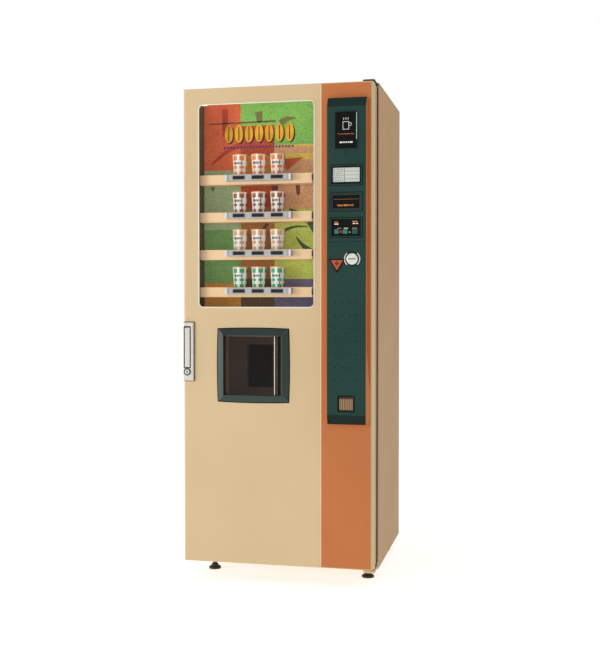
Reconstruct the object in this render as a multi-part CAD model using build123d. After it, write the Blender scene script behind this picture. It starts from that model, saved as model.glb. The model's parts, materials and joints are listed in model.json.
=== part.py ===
from build123d import *
import os

# A hot drink vending machine: a steel cabinet, a hinged front door and the equipment inside.
# Millimetres. +X is right as the customer faces it, +Y is back, +Z is up.
# The origin is on the floor, under the middle of the whole machine.

# ---- Overall sizes ----
WIDTH = 700.0
DEPTH = 740.0              # door face to cabinet back
HEIGHT = 1830.0
SHEET = 2.0                # outer sheet steel
THIN_SHEET = 1.5           # inner sheet steel
CLEARANCE = 0.5            # beside pieces that move
RUNNING_FIT = 0.05         # all round a pin or a shaft
STAND_OFF = 4.0            # between a piece and the panel beside it
TRUNNION_GRIP = 2.0        # length of a trunnion in its bearing
THROUGH = 4.0              # how far a cutting tool runs past a face

# ---- Cabinet ----
CABINET_BOTTOM = 52.0
FLANGE = 28.0              # width of the folded front edges
SKIRT_HEIGHT = 50.0        # front skirts under the top panel and above the base
RAIL_WIDTH = 50.0          # base rails that carry the feet
RAIL_HEIGHT = 30.0
RAIL_WALL = 3.0
VENT_COUNT = 9             # louvre slots in each bank
VENT_WIDTH = 220.0
VENT_SLOT = 8.0
VENT_PITCH = 24.0
VENT_HEIGHTS = (430.0, 1500.0)   # lowest slot of each bank, above the cabinet bottom

# ---- Levelling feet ----
FOOT_INSET = 50.0          # stem axis in from the cabinet sides
FOOT_SETBACK = 80.0        # stem axis in from the cabinet front and back
FOOT_RADIUS = 23.0
FOOT_PAD = 9.0
FOOT_NECK_RADIUS = 13.0
STEM_RADIUS = 8.0
STEM_FIT = 0.1

# ---- Door ----
DOOR_DEPTH = 120.0
DOOR_RETURN = 50.0         # depth of the outer skin's folded edge
DOOR_GAP = 20.0            # door back to cabinet front, closed by the seal
DOOR_TOP_GAP = 21.0        # below the cabinet top
DOOR_BOTTOM = 82.0
DOOR_EDGE_RADIUS = 8.0
PAN_LAP = 20.0             # inner pan inside the skin's folded edge
RIM_DEPTH = 14.0           # stiffening rim round the pan's back
RIM_WIDTH = 9.0
SEAL_WIDTH = 6.0
SEAL_EDGE = 2.0            # seal in from the door's left, top and bottom edges
SEAL_HINGE_EDGE = 14.0     # seal in from the hinge edge, so that it swings clear

# ---- Hinges ----
PIN_RADIUS = 6.0
PIN_INSET = 12.0           # pin axis in from the right side
PIN_SETBACK = 75.0         # pin axis behind the door face
PIN_GRIP = 24.0            # length of pin inside each hinge block
PIN_HEAD_RADIUS = 8.0
BRACKET_WIDTH = 42.0
BRACKET_REACH = 28.0       # bracket in front of the pin axis
UPPER_PLATE = 6.0
UPPER_PLATE_DROP = 5.0     # below the cabinet top
LOWER_PLATE = 8.0
LOWER_PLATE_DROP = 14.0    # below the door
PIN_HEAD = 4.0
COLLAR_RADIUS = 10.0
BRACKET_TAIL = 50.0        # upper bracket behind the cabinet front
BRACKET_CORNER = 6.0
BRACKET_EDGE_GAP = 0.5
LOWER_FLANGE = 6.0
LOWER_FLANGE_RISE = 12.0
BOLT_RADIUS = 3.0
BOLT_HEAD_RADIUS = 5.0
BOLT_HEAD = 4.0
BOLT_SPACING = 22.0
BOLT_TAIL = 6.0
BLOCK_WIDTH = 32.0
BLOCK_DEPTH = 40.0
BLOCK_HEIGHT = 28.0

# ---- Display window ----
WINDOW_LEFT = 60.0         # in from the door's left edge
WINDOW_DROP = 60.0         # below the door top
WINDOW_WIDTH = 428.0
WINDOW_HEIGHT = 734.0
WINDOW_RADIUS = 16.0
PANE = 3.0
PANE_LAP = 10.0
CASE_DEPTH = 88.0          # pane to art board
CASE_MARGIN = 12.0
CASE_WALL = 2.0
ART_SHEET = 3.0
LAMP_RADIUS = 13.0
LAMP_LENGTH = 400.0
LAMP_HEADROOM = 40.0       # above the window, where the lamp hides
LAMP_SETBACK = 45.0
LAMP_HOLDER = 18.0

# ---- Shelf bars, cups and selection buttons ----
ROWS = 4
COLUMNS = 3
BAR_LAP = 4.0              # bar's left end behind the window's edge
BAR_LENGTH = 422.0
BAR_HEIGHT = 36.0
BAR_SETBACK = 22.0         # bar face behind the door face
BAR_WALL = 3.0
BAR_PITCH = 136.5
BAR_BOTTOM = 36.0          # lowest bar above the window's lower edge
STRIP_LENGTH = 247.0
STRIP_HEIGHT = 22.5
STRIP_INSET = 98.0         # strip's left end, in from the window's left edge
STRIP_RISE = 4.0           # strip centre above the bar centre
STRIP_PROUD = 3.0
BUTTON_WIDTH = 44.0
BUTTON_HEIGHT = 12.0
BUTTON_PITCH = 71.0
BUTTON_DEPTH = 12.0
BUTTON_PROUD = 3.0         # in front of the strip
BUTTON_TRAVEL = 2.5
BUTTON_EDGE = 1.0
CUP_TOP_RADIUS = 28.5
CUP_BOTTOM_RADIUS = 20.5
CUP_HEIGHT = 75.0
CUP_SHIFT = -10.0          # cups stand a little left of their buttons
CUP_SETBACK = 52.0

# ---- Accent panel and control column ----
ACCENT_WIDTH = 178.0
ACCENT_RIGHT = 7.0         # in from the door's right edge
ACCENT_MARGIN = 4.0        # in from the door's top and bottom edges
ACCENT_SHEET = 3.0
COLUMN_WIDTH = 138.0
COLUMN_RIGHT = 19.0        # in from the door's right edge
COLUMN_DROP = 59.0         # below the door top
COLUMN_HEIGHT = 1149.0
COLUMN_REACH = 44.0        # front of the column before the door face
COLUMN_WALL = 8.0
COLUMN_EDGE = 3.0
FACET_HEIGHT = 34.0        # sloping top
FACET_DEPTH = 20.0
CHIN_HEIGHT = 35.0         # sloping chin
CHIN_DEPTH = 22.0
SEAM_DROP = 506.0          # joint of the two column covers, below the column top
SEAM_GAP = 1.0
PEDESTAL_WALL = 5.0
FLARE = 11.0               # pedestal's foot spreads this much at the coin return
FLARE_TOP = 890.0          # start and full width of the flare, below the column top
FLARE_FULL = 1050.0
SIGN_WIDTH = 77.0
SIGN_HEIGHT = 126.0
SIGN_THICKNESS = 6.0
SIGN_DROP = 117.0          # centre, below the column top
SIGN_CHAMFER = 3.0
MODULE_WIDTH = 105.0       # card holder, display and status panel
MODULE_DEPTH = 30.0
MODULE_SETBACK = 3.0
CARD_HEIGHT = 62.0
CARD_DROP = 273.0
DISPLAY_HEIGHT = 56.0
DISPLAY_DROP = 366.0
STATUS_HEIGHT = 60.0
STATUS_DROP = 456.0
BEZEL_MARGIN = 6.0
BEZEL_GROOVE = 2.0
DOT_COLUMNS = 4
DOT_ROWS = 7
DOT_PITCH_X = 25.7
DOT_PITCH_Z = 45.8
DOT_RADIUS = 2.0
DOT_DEPTH = 1.5
DOT_DROP = 717.0           # top row, below the column top

# ---- Coin parts ----
COIN_INLET_RADIUS = 20.0
COIN_INLET_PROUD = 7.0
COIN_INLET_OFFSET = 22.0   # right of the column's middle
COIN_DROP = 566.0          # below the column top
COIN_SLOT_LENGTH = 27.0
COIN_SLOT_WIDTH = 3.0
COIN_NECK_RADIUS = 17.0
COIN_NECK = 30.0
RETURN_OFFSET = -32.0      # coin return button, left of the column's middle
RETURN_SIDE = 45.0
RETURN_HEIGHT = 36.0
RETURN_DROP = 588.0        # its centre, below the column top
RETURN_PROUD = 1.0         # its face before the cover when pressed
RETURN_LIP = 3.0           # retaining lip behind the cover
RETURN_TRAVEL = 3.0
MECH_WIDTH = 104.0
MECH_DEPTH = 62.0
MECH_HEIGHT = 180.0
POCKET_WIDTH = 54.0        # coin return pocket
POCKET_HEIGHT = 50.0
POCKET_DEPTH = 46.0
POCKET_DROP = 1074.0
POCKET_WALL = 2.5
FLAP = 3.0
FLAP_SETBACK = 5.0
FLAP_GAP = 1.0             # flap in from the pocket's edges
TRUNNION_RADIUS = 2.0
CASH_WIDTH = 110.0
CASH_HEIGHT = 150.0
CASH_BOTTOM = 170.0        # above the door's lower edge
CASH_WALL = 2.0

# ---- Cup station ----
STATION_SIZE = 267.0       # frame, outside
STATION_OPENING = 216.0
STATION_CENTRE = 263.5     # in from the door's left edge
STATION_DROP = 77.5        # frame below the window
STATION_PROUD = 14.0
STATION_EDGE = 3.0         # height of the frame's outer edge
STATION_BOW = 3.0          # sides of the frame's outer edge bow out
LIP_BOW = 0.01             # and those of its inner edge all but not at all
COLLAR_WALL = 6.0
COLLAR_DEPTH = 14.0
BOX_WALL = 2.0
BOX_DEPTH = 98.0           # cup chamber, behind the door face
CUP_PORT_WIDTH = 98.0
CUP_PORT_HEIGHT = 160.0
CUP_PORT_RISE = 20.0
LEAF = 4.0                 # smoked door of the cup station
LEAF_END_GAP = 22.0        # leaf's free edge in from the opening's side
LEAF_PIN_RADIUS = 2.5
LEAF_PIN = 4.0
LEAF_GAP = 2.0
LEAF_PIN_INSET = 3.5       # pin axis in from the leaf's edge
GRIP_DEPTH = 7.0
GRIP_WIDTH = 6.0

# ---- Handle and lock ----
HANDLE_WIDTH = 40.0
HANDLE_HEIGHT = 214.0
HANDLE_THICKNESS = 10.0
HANDLE_EDGE = 3.0
HANDLE_RISE = 13.5         # plate top above the door's mid height
LEVER_WIDTH = 19.0
LEVER_LENGTH = 146.0
LEVER_THICKNESS = 9.0
LEVER_DROP = 18.0          # lever top, below the plate top
LEVER_INSET = 16.5         # lever and lock axis, in from the plate's left edge
LEVER_GAP = 1.5
LOCK_DROP = 181.0          # lock axis, below the plate top
LOCK_RADIUS = 12.0
LOCK_PROUD = 3.0
ROD_RADIUS = 4.5
CAM_LENGTH = 78.0          # from the lock's axis to the tip
CAM_WIDTH = 12.0
CAM = 3.0
CAM_GAP = 4.0              # cam behind the cabinet's front edge
NOTCH_HALF = 55.0          # half the gap in the cabinet's front edge that the cam passes
NOTCH_GAP = 1.0            # notch in from the door seal
KEYWAY_WIDTH = 2.0
KEYWAY_DEPTH = 2.0

# ---- Equipment ----
SHELF_DROP = 646.0         # upper shelf below the ceiling
SHELF_SPACING = 570.0
SHELF_LIP = 20.0
SHELF_SETBACK = 60.0
CANISTER_COUNT = 4
CANISTER_WIDTH = 84.0
CANISTER_DEPTH = 300.0
CANISTER_HEIGHT = 290.0
CANISTER_PITCH = 92.0
CANISTER_WALL = 3.0
CANISTER_CORNER = 6.0
CANISTER_LID = 6.0
SPOUT_RADIUS = 17.0
SPOUT_LENGTH = 26.0
BOWL_TOP_RADIUS = 36.0
BOWL_BOTTOM_RADIUS = 12.0
BOWL_HEIGHT = 70.0
BOWL_WALL = 2.5
BOWL_DROP = 40.0           # bowl rim below the shelf
MIXER_SETBACK = 50.0       # bowl axis behind the cabinet front
MOTOR_RADIUS = 24.0
MOTOR_LENGTH = 60.0
TANK_RADIUS = 100.0
TANK_HEIGHT = 300.0
TANK_DOME = 20.0
TANK_INSET = 120.0         # tank axis in from the right wall
TANK_SETBACK = 112.0       # tank axis in from the rear panel
TUBE_RADIUS = 40.0         # cup magazine
TUBE_WALL = 2.0
TUBE_HEIGHT = 460.0
TUBE_PITCH = 84.0
MAGAZINE_INSET = 170.0     # magazine middle in from the left wall
MAGAZINE_SETBACK = 88.0    # magazine middle behind the shelf front
DROP_PLATE = 24.0
CHUTE_WALL = 2.0
CONTROL_WIDTH = 200.0
CONTROL_DEPTH = 90.0
CONTROL_HEIGHT = 300.0
CONTROL_INSET = 112.0      # its middle in from the left wall
GLAND_RADIUS = 12.0
GLAND_LENGTH = 18.0
BUCKET_WIDTH = 280.0
BUCKET_DEPTH = 240.0
BUCKET_SHARE = 0.52        # bucket height over the room under the lower shelf
BUCKET_WALL = 2.5
BUCKET_CORNER = 15.0
BUCKET_INSET = 226.0       # bucket middle in from the left wall
BUCKET_SETBACK = 150.0     # bucket middle behind the cabinet front

# ---- Places worked out from the sizes ----
NOSE = COLUMN_REACH + COIN_INLET_PROUD
X_LEFT = -WIDTH / 2
X_RIGHT = WIDTH / 2
FRONT = (NOSE - DEPTH) / 2                    # door face
BACK = FRONT + DEPTH
DOOR_BACK = FRONT + DOOR_DEPTH
CABINET_FRONT = DOOR_BACK + DOOR_GAP
DOOR_TOP = HEIGHT - DOOR_TOP_GAP
DOOR_MID = (DOOR_TOP + DOOR_BOTTOM) / 2
CEILING = HEIGHT - SHEET
FLOOR = CABINET_BOTTOM + SHEET
INNER_LEFT = X_LEFT + SHEET
INNER_RIGHT = X_RIGHT - SHEET
PIN_X = X_RIGHT - PIN_INSET
PIN_Y = FRONT + PIN_SETBACK
UPPER_PLATE_TOP = HEIGHT - UPPER_PLATE_DROP
UPPER_PLATE_Z = UPPER_PLATE_TOP - UPPER_PLATE
LOWER_PLATE_TOP = DOOR_BOTTOM - LOWER_PLATE_DROP
LOWER_PLATE_Z = LOWER_PLATE_TOP - LOWER_PLATE
PAN_TOP = DOOR_TOP - SHEET
PAN_BOTTOM = DOOR_BOTTOM + SHEET
WIN_X0 = X_LEFT + WINDOW_LEFT
WIN_X1 = WIN_X0 + WINDOW_WIDTH
WIN_Z1 = DOOR_TOP - WINDOW_DROP
WIN_Z0 = WIN_Z1 - WINDOW_HEIGHT
PANE_Y = FRONT + SHEET
BAR_Y = FRONT + BAR_SETBACK
STRIP_X = WIN_X0 + STRIP_INSET + STRIP_LENGTH / 2      # strip middle
ACCENT_X1 = X_RIGHT - ACCENT_RIGHT
ACCENT_X0 = ACCENT_X1 - ACCENT_WIDTH
ACCENT_Z0 = DOOR_BOTTOM + ACCENT_MARGIN
ACCENT_Z1 = DOOR_TOP - ACCENT_MARGIN
COL_X1 = X_RIGHT - COLUMN_RIGHT
COL_X0 = COL_X1 - COLUMN_WIDTH
COL_X = (COL_X0 + COL_X1) / 2
COL_TOP = DOOR_TOP - COLUMN_DROP
COL_BOTTOM = COL_TOP - COLUMN_HEIGHT
COL_FACE = FRONT - COLUMN_REACH
COL_BACK = COL_FACE + COLUMN_WALL
SEAM_Z = COL_TOP - SEAM_DROP
COIN_X = COL_X + COIN_INLET_OFFSET
COIN_Z = COL_TOP - COIN_DROP
RETURN_X = COL_X + RETURN_OFFSET
RETURN_Z = COL_TOP - RETURN_DROP
POCKET_Z = COL_TOP - POCKET_DROP
FLAP_Y = COL_FACE + FLAP_SETBACK
FLAP_PIVOT_Z = POCKET_Z + POCKET_HEIGHT / 2 - TRUNNION_RADIUS - FLAP_GAP
CASH_Z0 = DOOR_BOTTOM + CASH_BOTTOM
STATION_X = X_LEFT + STATION_CENTRE
STATION_Z1 = WIN_Z0 - STATION_DROP
STATION_Z = STATION_Z1 - STATION_SIZE / 2
STATION_HALF = STATION_OPENING / 2
COLLAR_HALF = STATION_HALF + COLLAR_WALL
LEAF_X0 = STATION_X - STATION_HALF + LEAF_GAP
LEAF_PIN_X = LEAF_X0 + LEAF_PIN_INSET
LEAF_Y = FRONT + LEAF_GAP
LEAF_PIN_Y = LEAF_Y + LEAF / 2
LEAF_HALF = STATION_HALF - LEAF_GAP
LEAF_X1 = STATION_X + STATION_HALF - LEAF_END_GAP
ART_Y = PANE_Y + PANE + CASE_DEPTH
ART_FACE = ART_Y - ART_SHEET
BRACKET_X = INNER_RIGHT - BRACKET_EDGE_GAP - BRACKET_WIDTH / 2
HANDLE_Z1 = DOOR_MID + HANDLE_RISE
HANDLE_Z0 = HANDLE_Z1 - HANDLE_HEIGHT
LEVER_X = X_LEFT + LEVER_INSET
LEVER_Z1 = HANDLE_Z1 - LEVER_DROP
LEVER_PIVOT_Z = LEVER_Z1 - LEVER_THICKNESS / 2
LEVER_Y = FRONT - HANDLE_THICKNESS
LOCK_Z = HANDLE_Z1 - LOCK_DROP
SHELF_TOP = CEILING - SHELF_DROP
LOWER_SHELF_TOP = SHELF_TOP - SHELF_SPACING
EQUIP_FRONT = CABINET_FRONT + SHELF_SETBACK
MIXER_Y = CABINET_FRONT + MIXER_SETBACK
MAGAZINE_X = INNER_LEFT + MAGAZINE_INSET
MAGAZINE_Y = EQUIP_FRONT + MAGAZINE_SETBACK
DROP_X = MAGAZINE_X + TUBE_PITCH / 2
DROP_Y = MAGAZINE_Y - TUBE_PITCH / 2
BUCKET_HEIGHT = BUCKET_SHARE * (LOWER_SHELF_TOP - SHELF_LIP - FLOOR)
BUCKET_X = INNER_LEFT + BUCKET_INSET
BUCKET_Y = CABINET_FRONT + BUCKET_SETBACK
TANK_X = INNER_RIGHT - TANK_INSET
TANK_Y = BACK - SHEET - TANK_SETBACK
CONTROL_X = INNER_LEFT + CONTROL_INSET


# ---- Shared shapes ----
def block(x0, x1, y0, y1, z0, z1):
    """A box between two corners."""
    return Pos((x0 + x1) / 2, (y0 + y1) / 2, (z0 + z1) / 2) * Box(x1 - x0, y1 - y0, z1 - z0)


def ring(x0, x1, y0, y1, z0, z1, wall):
    """A rectangular ring in the X-Z plane, its band as wide as wall."""
    hole = block(x0 + wall, x1 - wall, y0 - THROUGH, y1 + THROUGH, z0 + wall, z1 - wall)
    return block(x0, x1, y0, y1, z0, z1) - hole


def rod_x(radius, y, z, x0, x1):
    return Pos((x0 + x1) / 2, y, z) * Rot(0, 90, 0) * Cylinder(radius, x1 - x0)


def rod_y(radius, x, z, y0, y1):
    return Pos(x, (y0 + y1) / 2, z) * Rot(90, 0, 0) * Cylinder(radius, y1 - y0)


def rod_z(radius, x, y, z0, z1):
    return Pos(x, y, (z0 + z1) / 2) * Cylinder(radius, z1 - z0)


def facing(y):
    """A plane facing the customer, with X to the right and Z up."""
    return Plane(origin=(0, y, 0), x_dir=(1, 0, 0), z_dir=(0, -1, 0))


def prism_y(points, y0, y1):
    """A prism along Y whose outline is given as X, Z points."""
    outline = make_face(Polyline(*points, close=True))
    return extrude(facing(y1) * outline, y1 - y0)


def prism_x(points, x0, x1):
    """A prism along X whose outline is given as Y, Z points."""
    outline = make_face(Polyline(*points, close=True))
    return extrude(Plane.YZ.offset(x0) * outline, x1 - x0)


def rounded_plate(x, z, width, height, radius, y0, y1):
    """A plate in the X-Z plane with rounded corners."""
    return extrude(facing(y1) * Pos(x, z) * RectangleRounded(width, height, radius), y1 - y0)


def centred(x, z, width, height, y0, y1):
    """A box given by its middle and size in the X-Z plane."""
    return block(x - width / 2, x + width / 2, y0, y1, z - height / 2, z + height / 2)


def front_edges(solid):
    """The upright edges nearest to the customer."""
    return solid.edges().filter_by(Axis.Z).group_by(Axis.Y)[0]


# ---- Cabinet ----
def left_side_panel():
    wall = block(X_LEFT, INNER_LEFT, CABINET_FRONT, BACK, CABINET_BOTTOM, CEILING)
    flange = block(X_LEFT, X_LEFT + FLANGE, CABINET_FRONT, CABINET_FRONT + SHEET,
                   CABINET_BOTTOM, CEILING)
    notch_x0 = X_LEFT + SEAL_EDGE + SEAL_WIDTH + NOTCH_GAP
    notch = block(notch_x0, X_LEFT + FLANGE + THROUGH, CABINET_FRONT - THROUGH,
                  CABINET_FRONT + SHEET + THROUGH, LOCK_Z - NOTCH_HALF, LOCK_Z + NOTCH_HALF)
    return wall + flange - notch


def right_side_panel():
    wall = block(INNER_RIGHT, X_RIGHT, CABINET_FRONT, BACK, CABINET_BOTTOM, CEILING)
    flange = block(X_RIGHT - FLANGE, X_RIGHT, CABINET_FRONT, CABINET_FRONT + SHEET,
                   CABINET_BOTTOM, CEILING)
    bracket_room = block(X_RIGHT - FLANGE - THROUGH, INNER_RIGHT, CABINET_FRONT - THROUGH,
                         CABINET_FRONT + SHEET + THROUGH, UPPER_PLATE_Z, CEILING + THROUGH)
    return wall + flange - bracket_room - lower_bolts()


def top_panel():
    cover = block(X_LEFT, X_RIGHT, CABINET_FRONT, BACK, CEILING, HEIGHT)
    skirt = block(X_LEFT + FLANGE, X_RIGHT - FLANGE, CABINET_FRONT, CABINET_FRONT + SHEET,
                  CEILING - SKIRT_HEIGHT, CEILING)
    plate = upper_plate_blank()
    return cover + skirt - plate


def rear_panel():
    panel = block(INNER_LEFT, INNER_RIGHT, BACK - SHEET, BACK, FLOOR, CEILING)
    for lowest in VENT_HEIGHTS:
        for row in range(VENT_COUNT):
            z = CABINET_BOTTOM + lowest + row * VENT_PITCH
            panel -= centred(0, z, VENT_WIDTH, VENT_SLOT, BACK - SHEET - THROUGH, BACK + THROUGH)
    return panel - inlet()


def base_frame():
    floor = block(INNER_LEFT, INNER_RIGHT, CABINET_FRONT + SHEET, BACK, CABINET_BOTTOM, FLOOR)
    skirt = block(X_LEFT + FLANGE, X_RIGHT - FLANGE, CABINET_FRONT, CABINET_FRONT + SHEET,
                  CABINET_BOTTOM, FLOOR + SKIRT_HEIGHT)
    frame = floor + skirt
    for x in (X_LEFT + FOOT_INSET, X_RIGHT - FOOT_INSET):
        y0 = CABINET_FRONT + SHEET
        y1 = BACK - SHEET
        half = RAIL_WIDTH / 2
        top = FLOOR + RAIL_HEIGHT
        hollow = block(x - half + RAIL_WALL, x + half - RAIL_WALL, y0 - THROUGH, y1 + THROUGH,
                       FLOOR + RAIL_WALL, top - RAIL_WALL)
        tube = block(x - half, x + half, y0, y1, FLOOR, top)
        frame += tube - hollow + centred(x, (FLOOR + top) / 2, RAIL_WIDTH, RAIL_HEIGHT, y0, y0 + SHEET)
    for x, y in foot_places():
        frame -= rod_z(STEM_RADIUS + STEM_FIT, x, y, CABINET_BOTTOM - THROUGH,
                       FLOOR + RAIL_WALL + THROUGH)
    return frame - lower_bolts()


def foot_places():
    """Stem axes: front left, front right, rear left, rear right."""
    return [(x, y) for y in (CABINET_FRONT + FOOT_SETBACK, BACK - FOOT_SETBACK)
            for x in (X_LEFT + FOOT_INSET, X_RIGHT - FOOT_INSET)]


def levelling_foot(x, y):
    pad = rod_z(FOOT_RADIUS, x, y, 0, FOOT_PAD)
    pad = chamfer(pad.edges().group_by(Axis.Z)[-1], FOOT_PAD / 3)
    neck_top = 2 * FOOT_PAD
    neck = rod_z(FOOT_NECK_RADIUS, x, y, FOOT_PAD, neck_top)
    stem = rod_z(STEM_RADIUS, x, y, neck_top, FLOOR + RAIL_HEIGHT - 2 * RAIL_WALL)
    return pad + neck + stem


# ---- Hinges ----
def upper_plate_blank():
    plate = block(BRACKET_X - BRACKET_WIDTH / 2, BRACKET_X + BRACKET_WIDTH / 2,
                  PIN_Y - BRACKET_REACH, CABINET_FRONT + BRACKET_TAIL,
                  UPPER_PLATE_Z, UPPER_PLATE_TOP)
    return fillet(front_edges(plate), BRACKET_CORNER)


def upper_hinge_bracket():
    return upper_plate_blank() - upper_pin() - upper_bolts()


def lower_hinge_bracket():
    x0 = X_RIGHT - BRACKET_WIDTH
    plate = block(x0, X_RIGHT, PIN_Y - BRACKET_REACH, CABINET_FRONT, LOWER_PLATE_Z, LOWER_PLATE_TOP)
    plate = fillet(front_edges(plate), BRACKET_CORNER)
    flange = block(x0, X_RIGHT, CABINET_FRONT - LOWER_FLANGE, CABINET_FRONT,
                   LOWER_PLATE_Z, LOWER_PLATE_TOP + LOWER_FLANGE_RISE)
    return plate + flange - lower_pin() - lower_bolts()


def upper_pin():
    foot = PAN_TOP - THIN_SHEET - PIN_GRIP
    shank = rod_z(PIN_RADIUS, PIN_X, PIN_Y, foot, UPPER_PLATE_TOP)
    head = rod_z(PIN_HEAD_RADIUS, PIN_X, PIN_Y, UPPER_PLATE_TOP, UPPER_PLATE_TOP + PIN_HEAD)
    return shank + head


def lower_pin():
    tip = PAN_BOTTOM + THIN_SHEET + PIN_GRIP
    shank = rod_z(PIN_RADIUS, PIN_X, PIN_Y, LOWER_PLATE_Z, tip)
    collar = rod_z(COLLAR_RADIUS, PIN_X, PIN_Y, LOWER_PLATE_TOP, PAN_BOTTOM - CLEARANCE)
    return shank + collar


def upper_bolts():
    """Two bolts up through the upper bracket to the underside of the top panel."""
    bolts = []
    for step in (-1, 1):
        y = CABINET_FRONT + BRACKET_TAIL / 2 + step * BOLT_SPACING / 2
        shank = rod_z(BOLT_RADIUS, BRACKET_X, y, UPPER_PLATE_Z, CEILING)
        head = rod_z(BOLT_HEAD_RADIUS, BRACKET_X, y, UPPER_PLATE_Z - BOLT_HEAD, UPPER_PLATE_Z)
        bolts.append(shank + head)
    return bolts


def lower_bolts():
    """Two bolts back through the lower bracket into the cabinet front."""
    bolts = []
    face = CABINET_FRONT - LOWER_FLANGE
    z = LOWER_PLATE_TOP + LOWER_FLANGE_RISE / 2
    for step in (-1, 1):
        x = X_RIGHT - BRACKET_WIDTH / 2 + step * BOLT_SPACING / 2
        shank = rod_y(BOLT_RADIUS, x, z, face, CABINET_FRONT + SHEET + BOLT_TAIL)
        head = rod_y(BOLT_HEAD_RADIUS, x, z, face - BOLT_HEAD, face)
        bolts.append(shank + head)
    return bolts


def hinge_hardware():
    return Compound([upper_pin(), lower_pin()] + upper_bolts() + lower_bolts())


def hinge_blocks():
    """The two blocks in the door's corners that turn on the pins."""
    blocks = []
    bore = rod_z(PIN_RADIUS + RUNNING_FIT, PIN_X, PIN_Y, 0, HEIGHT)
    x1 = X_RIGHT - SHEET - THIN_SHEET
    for z0 in (PAN_TOP - THIN_SHEET - BLOCK_HEIGHT, PAN_BOTTOM + THIN_SHEET):
        body = block(x1 - BLOCK_WIDTH, x1, PIN_Y - BLOCK_DEPTH / 2, PIN_Y + BLOCK_DEPTH / 2,
                     z0, z0 + BLOCK_HEIGHT)
        blocks.append(body - bore)
    return Compound(blocks)


# ---- Door structure ----
def column_opening(y0, y1):
    """The way through behind the control column."""
    return block(COL_X0 + PEDESTAL_WALL, COL_X1 - PEDESTAL_WALL, y0, y1,
                 COL_BOTTOM + CHIN_HEIGHT, COL_TOP - FACET_HEIGHT)


def window_opening(y0, y1):
    x = (WIN_X0 + WIN_X1) / 2
    z = (WIN_Z0 + WIN_Z1) / 2
    return rounded_plate(x, z, WINDOW_WIDTH, WINDOW_HEIGHT, WINDOW_RADIUS, y0, y1)


def door_skin():
    outer = block(X_LEFT, X_RIGHT, FRONT, FRONT + DOOR_RETURN, DOOR_BOTTOM, DOOR_TOP)
    outer = fillet(front_edges(outer), DOOR_EDGE_RADIUS)
    inner = block(INNER_LEFT, INNER_RIGHT, FRONT + SHEET, FRONT + DOOR_RETURN + THROUGH,
                  PAN_BOTTOM, PAN_TOP)
    inner = fillet(front_edges(inner), DOOR_EDGE_RADIUS - SHEET)
    y0 = FRONT - THROUGH
    y1 = FRONT + SHEET + THROUGH
    skin = outer - inner - window_opening(y0, y1) - column_opening(y0, y1)
    skin -= centred(STATION_X, STATION_Z, 2 * COLLAR_HALF, 2 * COLLAR_HALF, y0, y1)
    return skin - rod_y(LOCK_RADIUS - LOCK_PROUD + RUNNING_FIT, LEVER_X, LOCK_Z, y0, y1)


def door_inner_pan():
    walls = ring(INNER_LEFT, INNER_RIGHT, FRONT + DOOR_RETURN - PAN_LAP, DOOR_BACK,
                 PAN_BOTTOM, PAN_TOP, THIN_SHEET)
    rim = ring(X_LEFT + CLEARANCE, X_RIGHT - CLEARANCE, DOOR_BACK - RIM_DEPTH, DOOR_BACK,
               DOOR_BOTTOM + CLEARANCE, DOOR_TOP - CLEARANCE, RIM_WIDTH)
    y0 = DOOR_BACK - THIN_SHEET
    back = block(INNER_LEFT, INNER_RIGHT, y0, DOOR_BACK, PAN_BOTTOM, PAN_TOP)
    shelf = block(COL_X - CASH_WIDTH / 2, COL_X + CASH_WIDTH / 2, FRONT + DOOR_RETURN, DOOR_BACK,
                  CASH_Z0 - CLEARANCE - THIN_SHEET, CASH_Z0 - CLEARANCE)
    pan = walls + rim + back + shelf
    pan -= centred(STATION_X, cup_port_z(), CUP_PORT_WIDTH, CUP_PORT_HEIGHT,
                   y0 - THROUGH, DOOR_BACK + THROUGH)
    pan -= block(COL_X - CASH_WIDTH / 2 - CLEARANCE, COL_X + CASH_WIDTH / 2 + CLEARANCE,
                 y0 - THROUGH, DOOR_BACK + THROUGH,
                 CASH_Z0 - CLEARANCE, CASH_Z0 + CASH_HEIGHT + CLEARANCE)
    pan -= rod_y(ROD_RADIUS + CLEARANCE, LEVER_X, LOCK_Z, y0 - THROUGH, DOOR_BACK + THROUGH)
    return pan - rod_z(PIN_RADIUS + CLEARANCE, PIN_X, PIN_Y, 0, HEIGHT)


def door_seal():
    return ring(X_LEFT + SEAL_EDGE, X_RIGHT - SEAL_HINGE_EDGE, DOOR_BACK,
                CABINET_FRONT - CLEARANCE, PAN_BOTTOM, PAN_TOP, SEAL_WIDTH)


# ---- Accent panel and control column ----
def flare(edge, side):
    """One side of the pedestal's foot, spreading towards the door below the dots."""
    base = FRONT - ACCENT_SHEET
    z_start = COL_TOP - FLARE_TOP
    z_full = COL_TOP - FLARE_FULL
    wide = edge + side * FLARE
    outline = [(edge, z_start), (wide, z_full), (wide, COL_BOTTOM + FLARE), (edge, COL_BOTTOM)]
    slab = prism_y(outline, COL_BACK, base)
    corner = make_face(Polyline((edge, base), (wide, base), (edge, COL_BACK), close=True))
    wedge = extrude(Plane.XY.offset(COL_BOTTOM) * corner, z_start - COL_BOTTOM)
    return slab & wedge


def accent_panel():
    base = FRONT - ACCENT_SHEET
    sheet = block(ACCENT_X0, ACCENT_X1, base, FRONT, ACCENT_Z0, ACCENT_Z1)
    profile = [(base, COL_BOTTOM), (COL_BACK + CHIN_DEPTH, COL_BOTTOM),
               (COL_BACK, COL_BOTTOM + CHIN_HEIGHT), (COL_BACK, COL_TOP - FACET_HEIGHT),
               (COL_BACK + FACET_DEPTH, COL_TOP), (base, COL_TOP)]
    pedestal = prism_x(profile, COL_X0, COL_X1)
    raised = pedestal + flare(COL_X0, -1) + flare(COL_X1, 1)
    return sheet + raised - column_opening(COL_FACE - THROUGH, FRONT + THROUGH)


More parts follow.
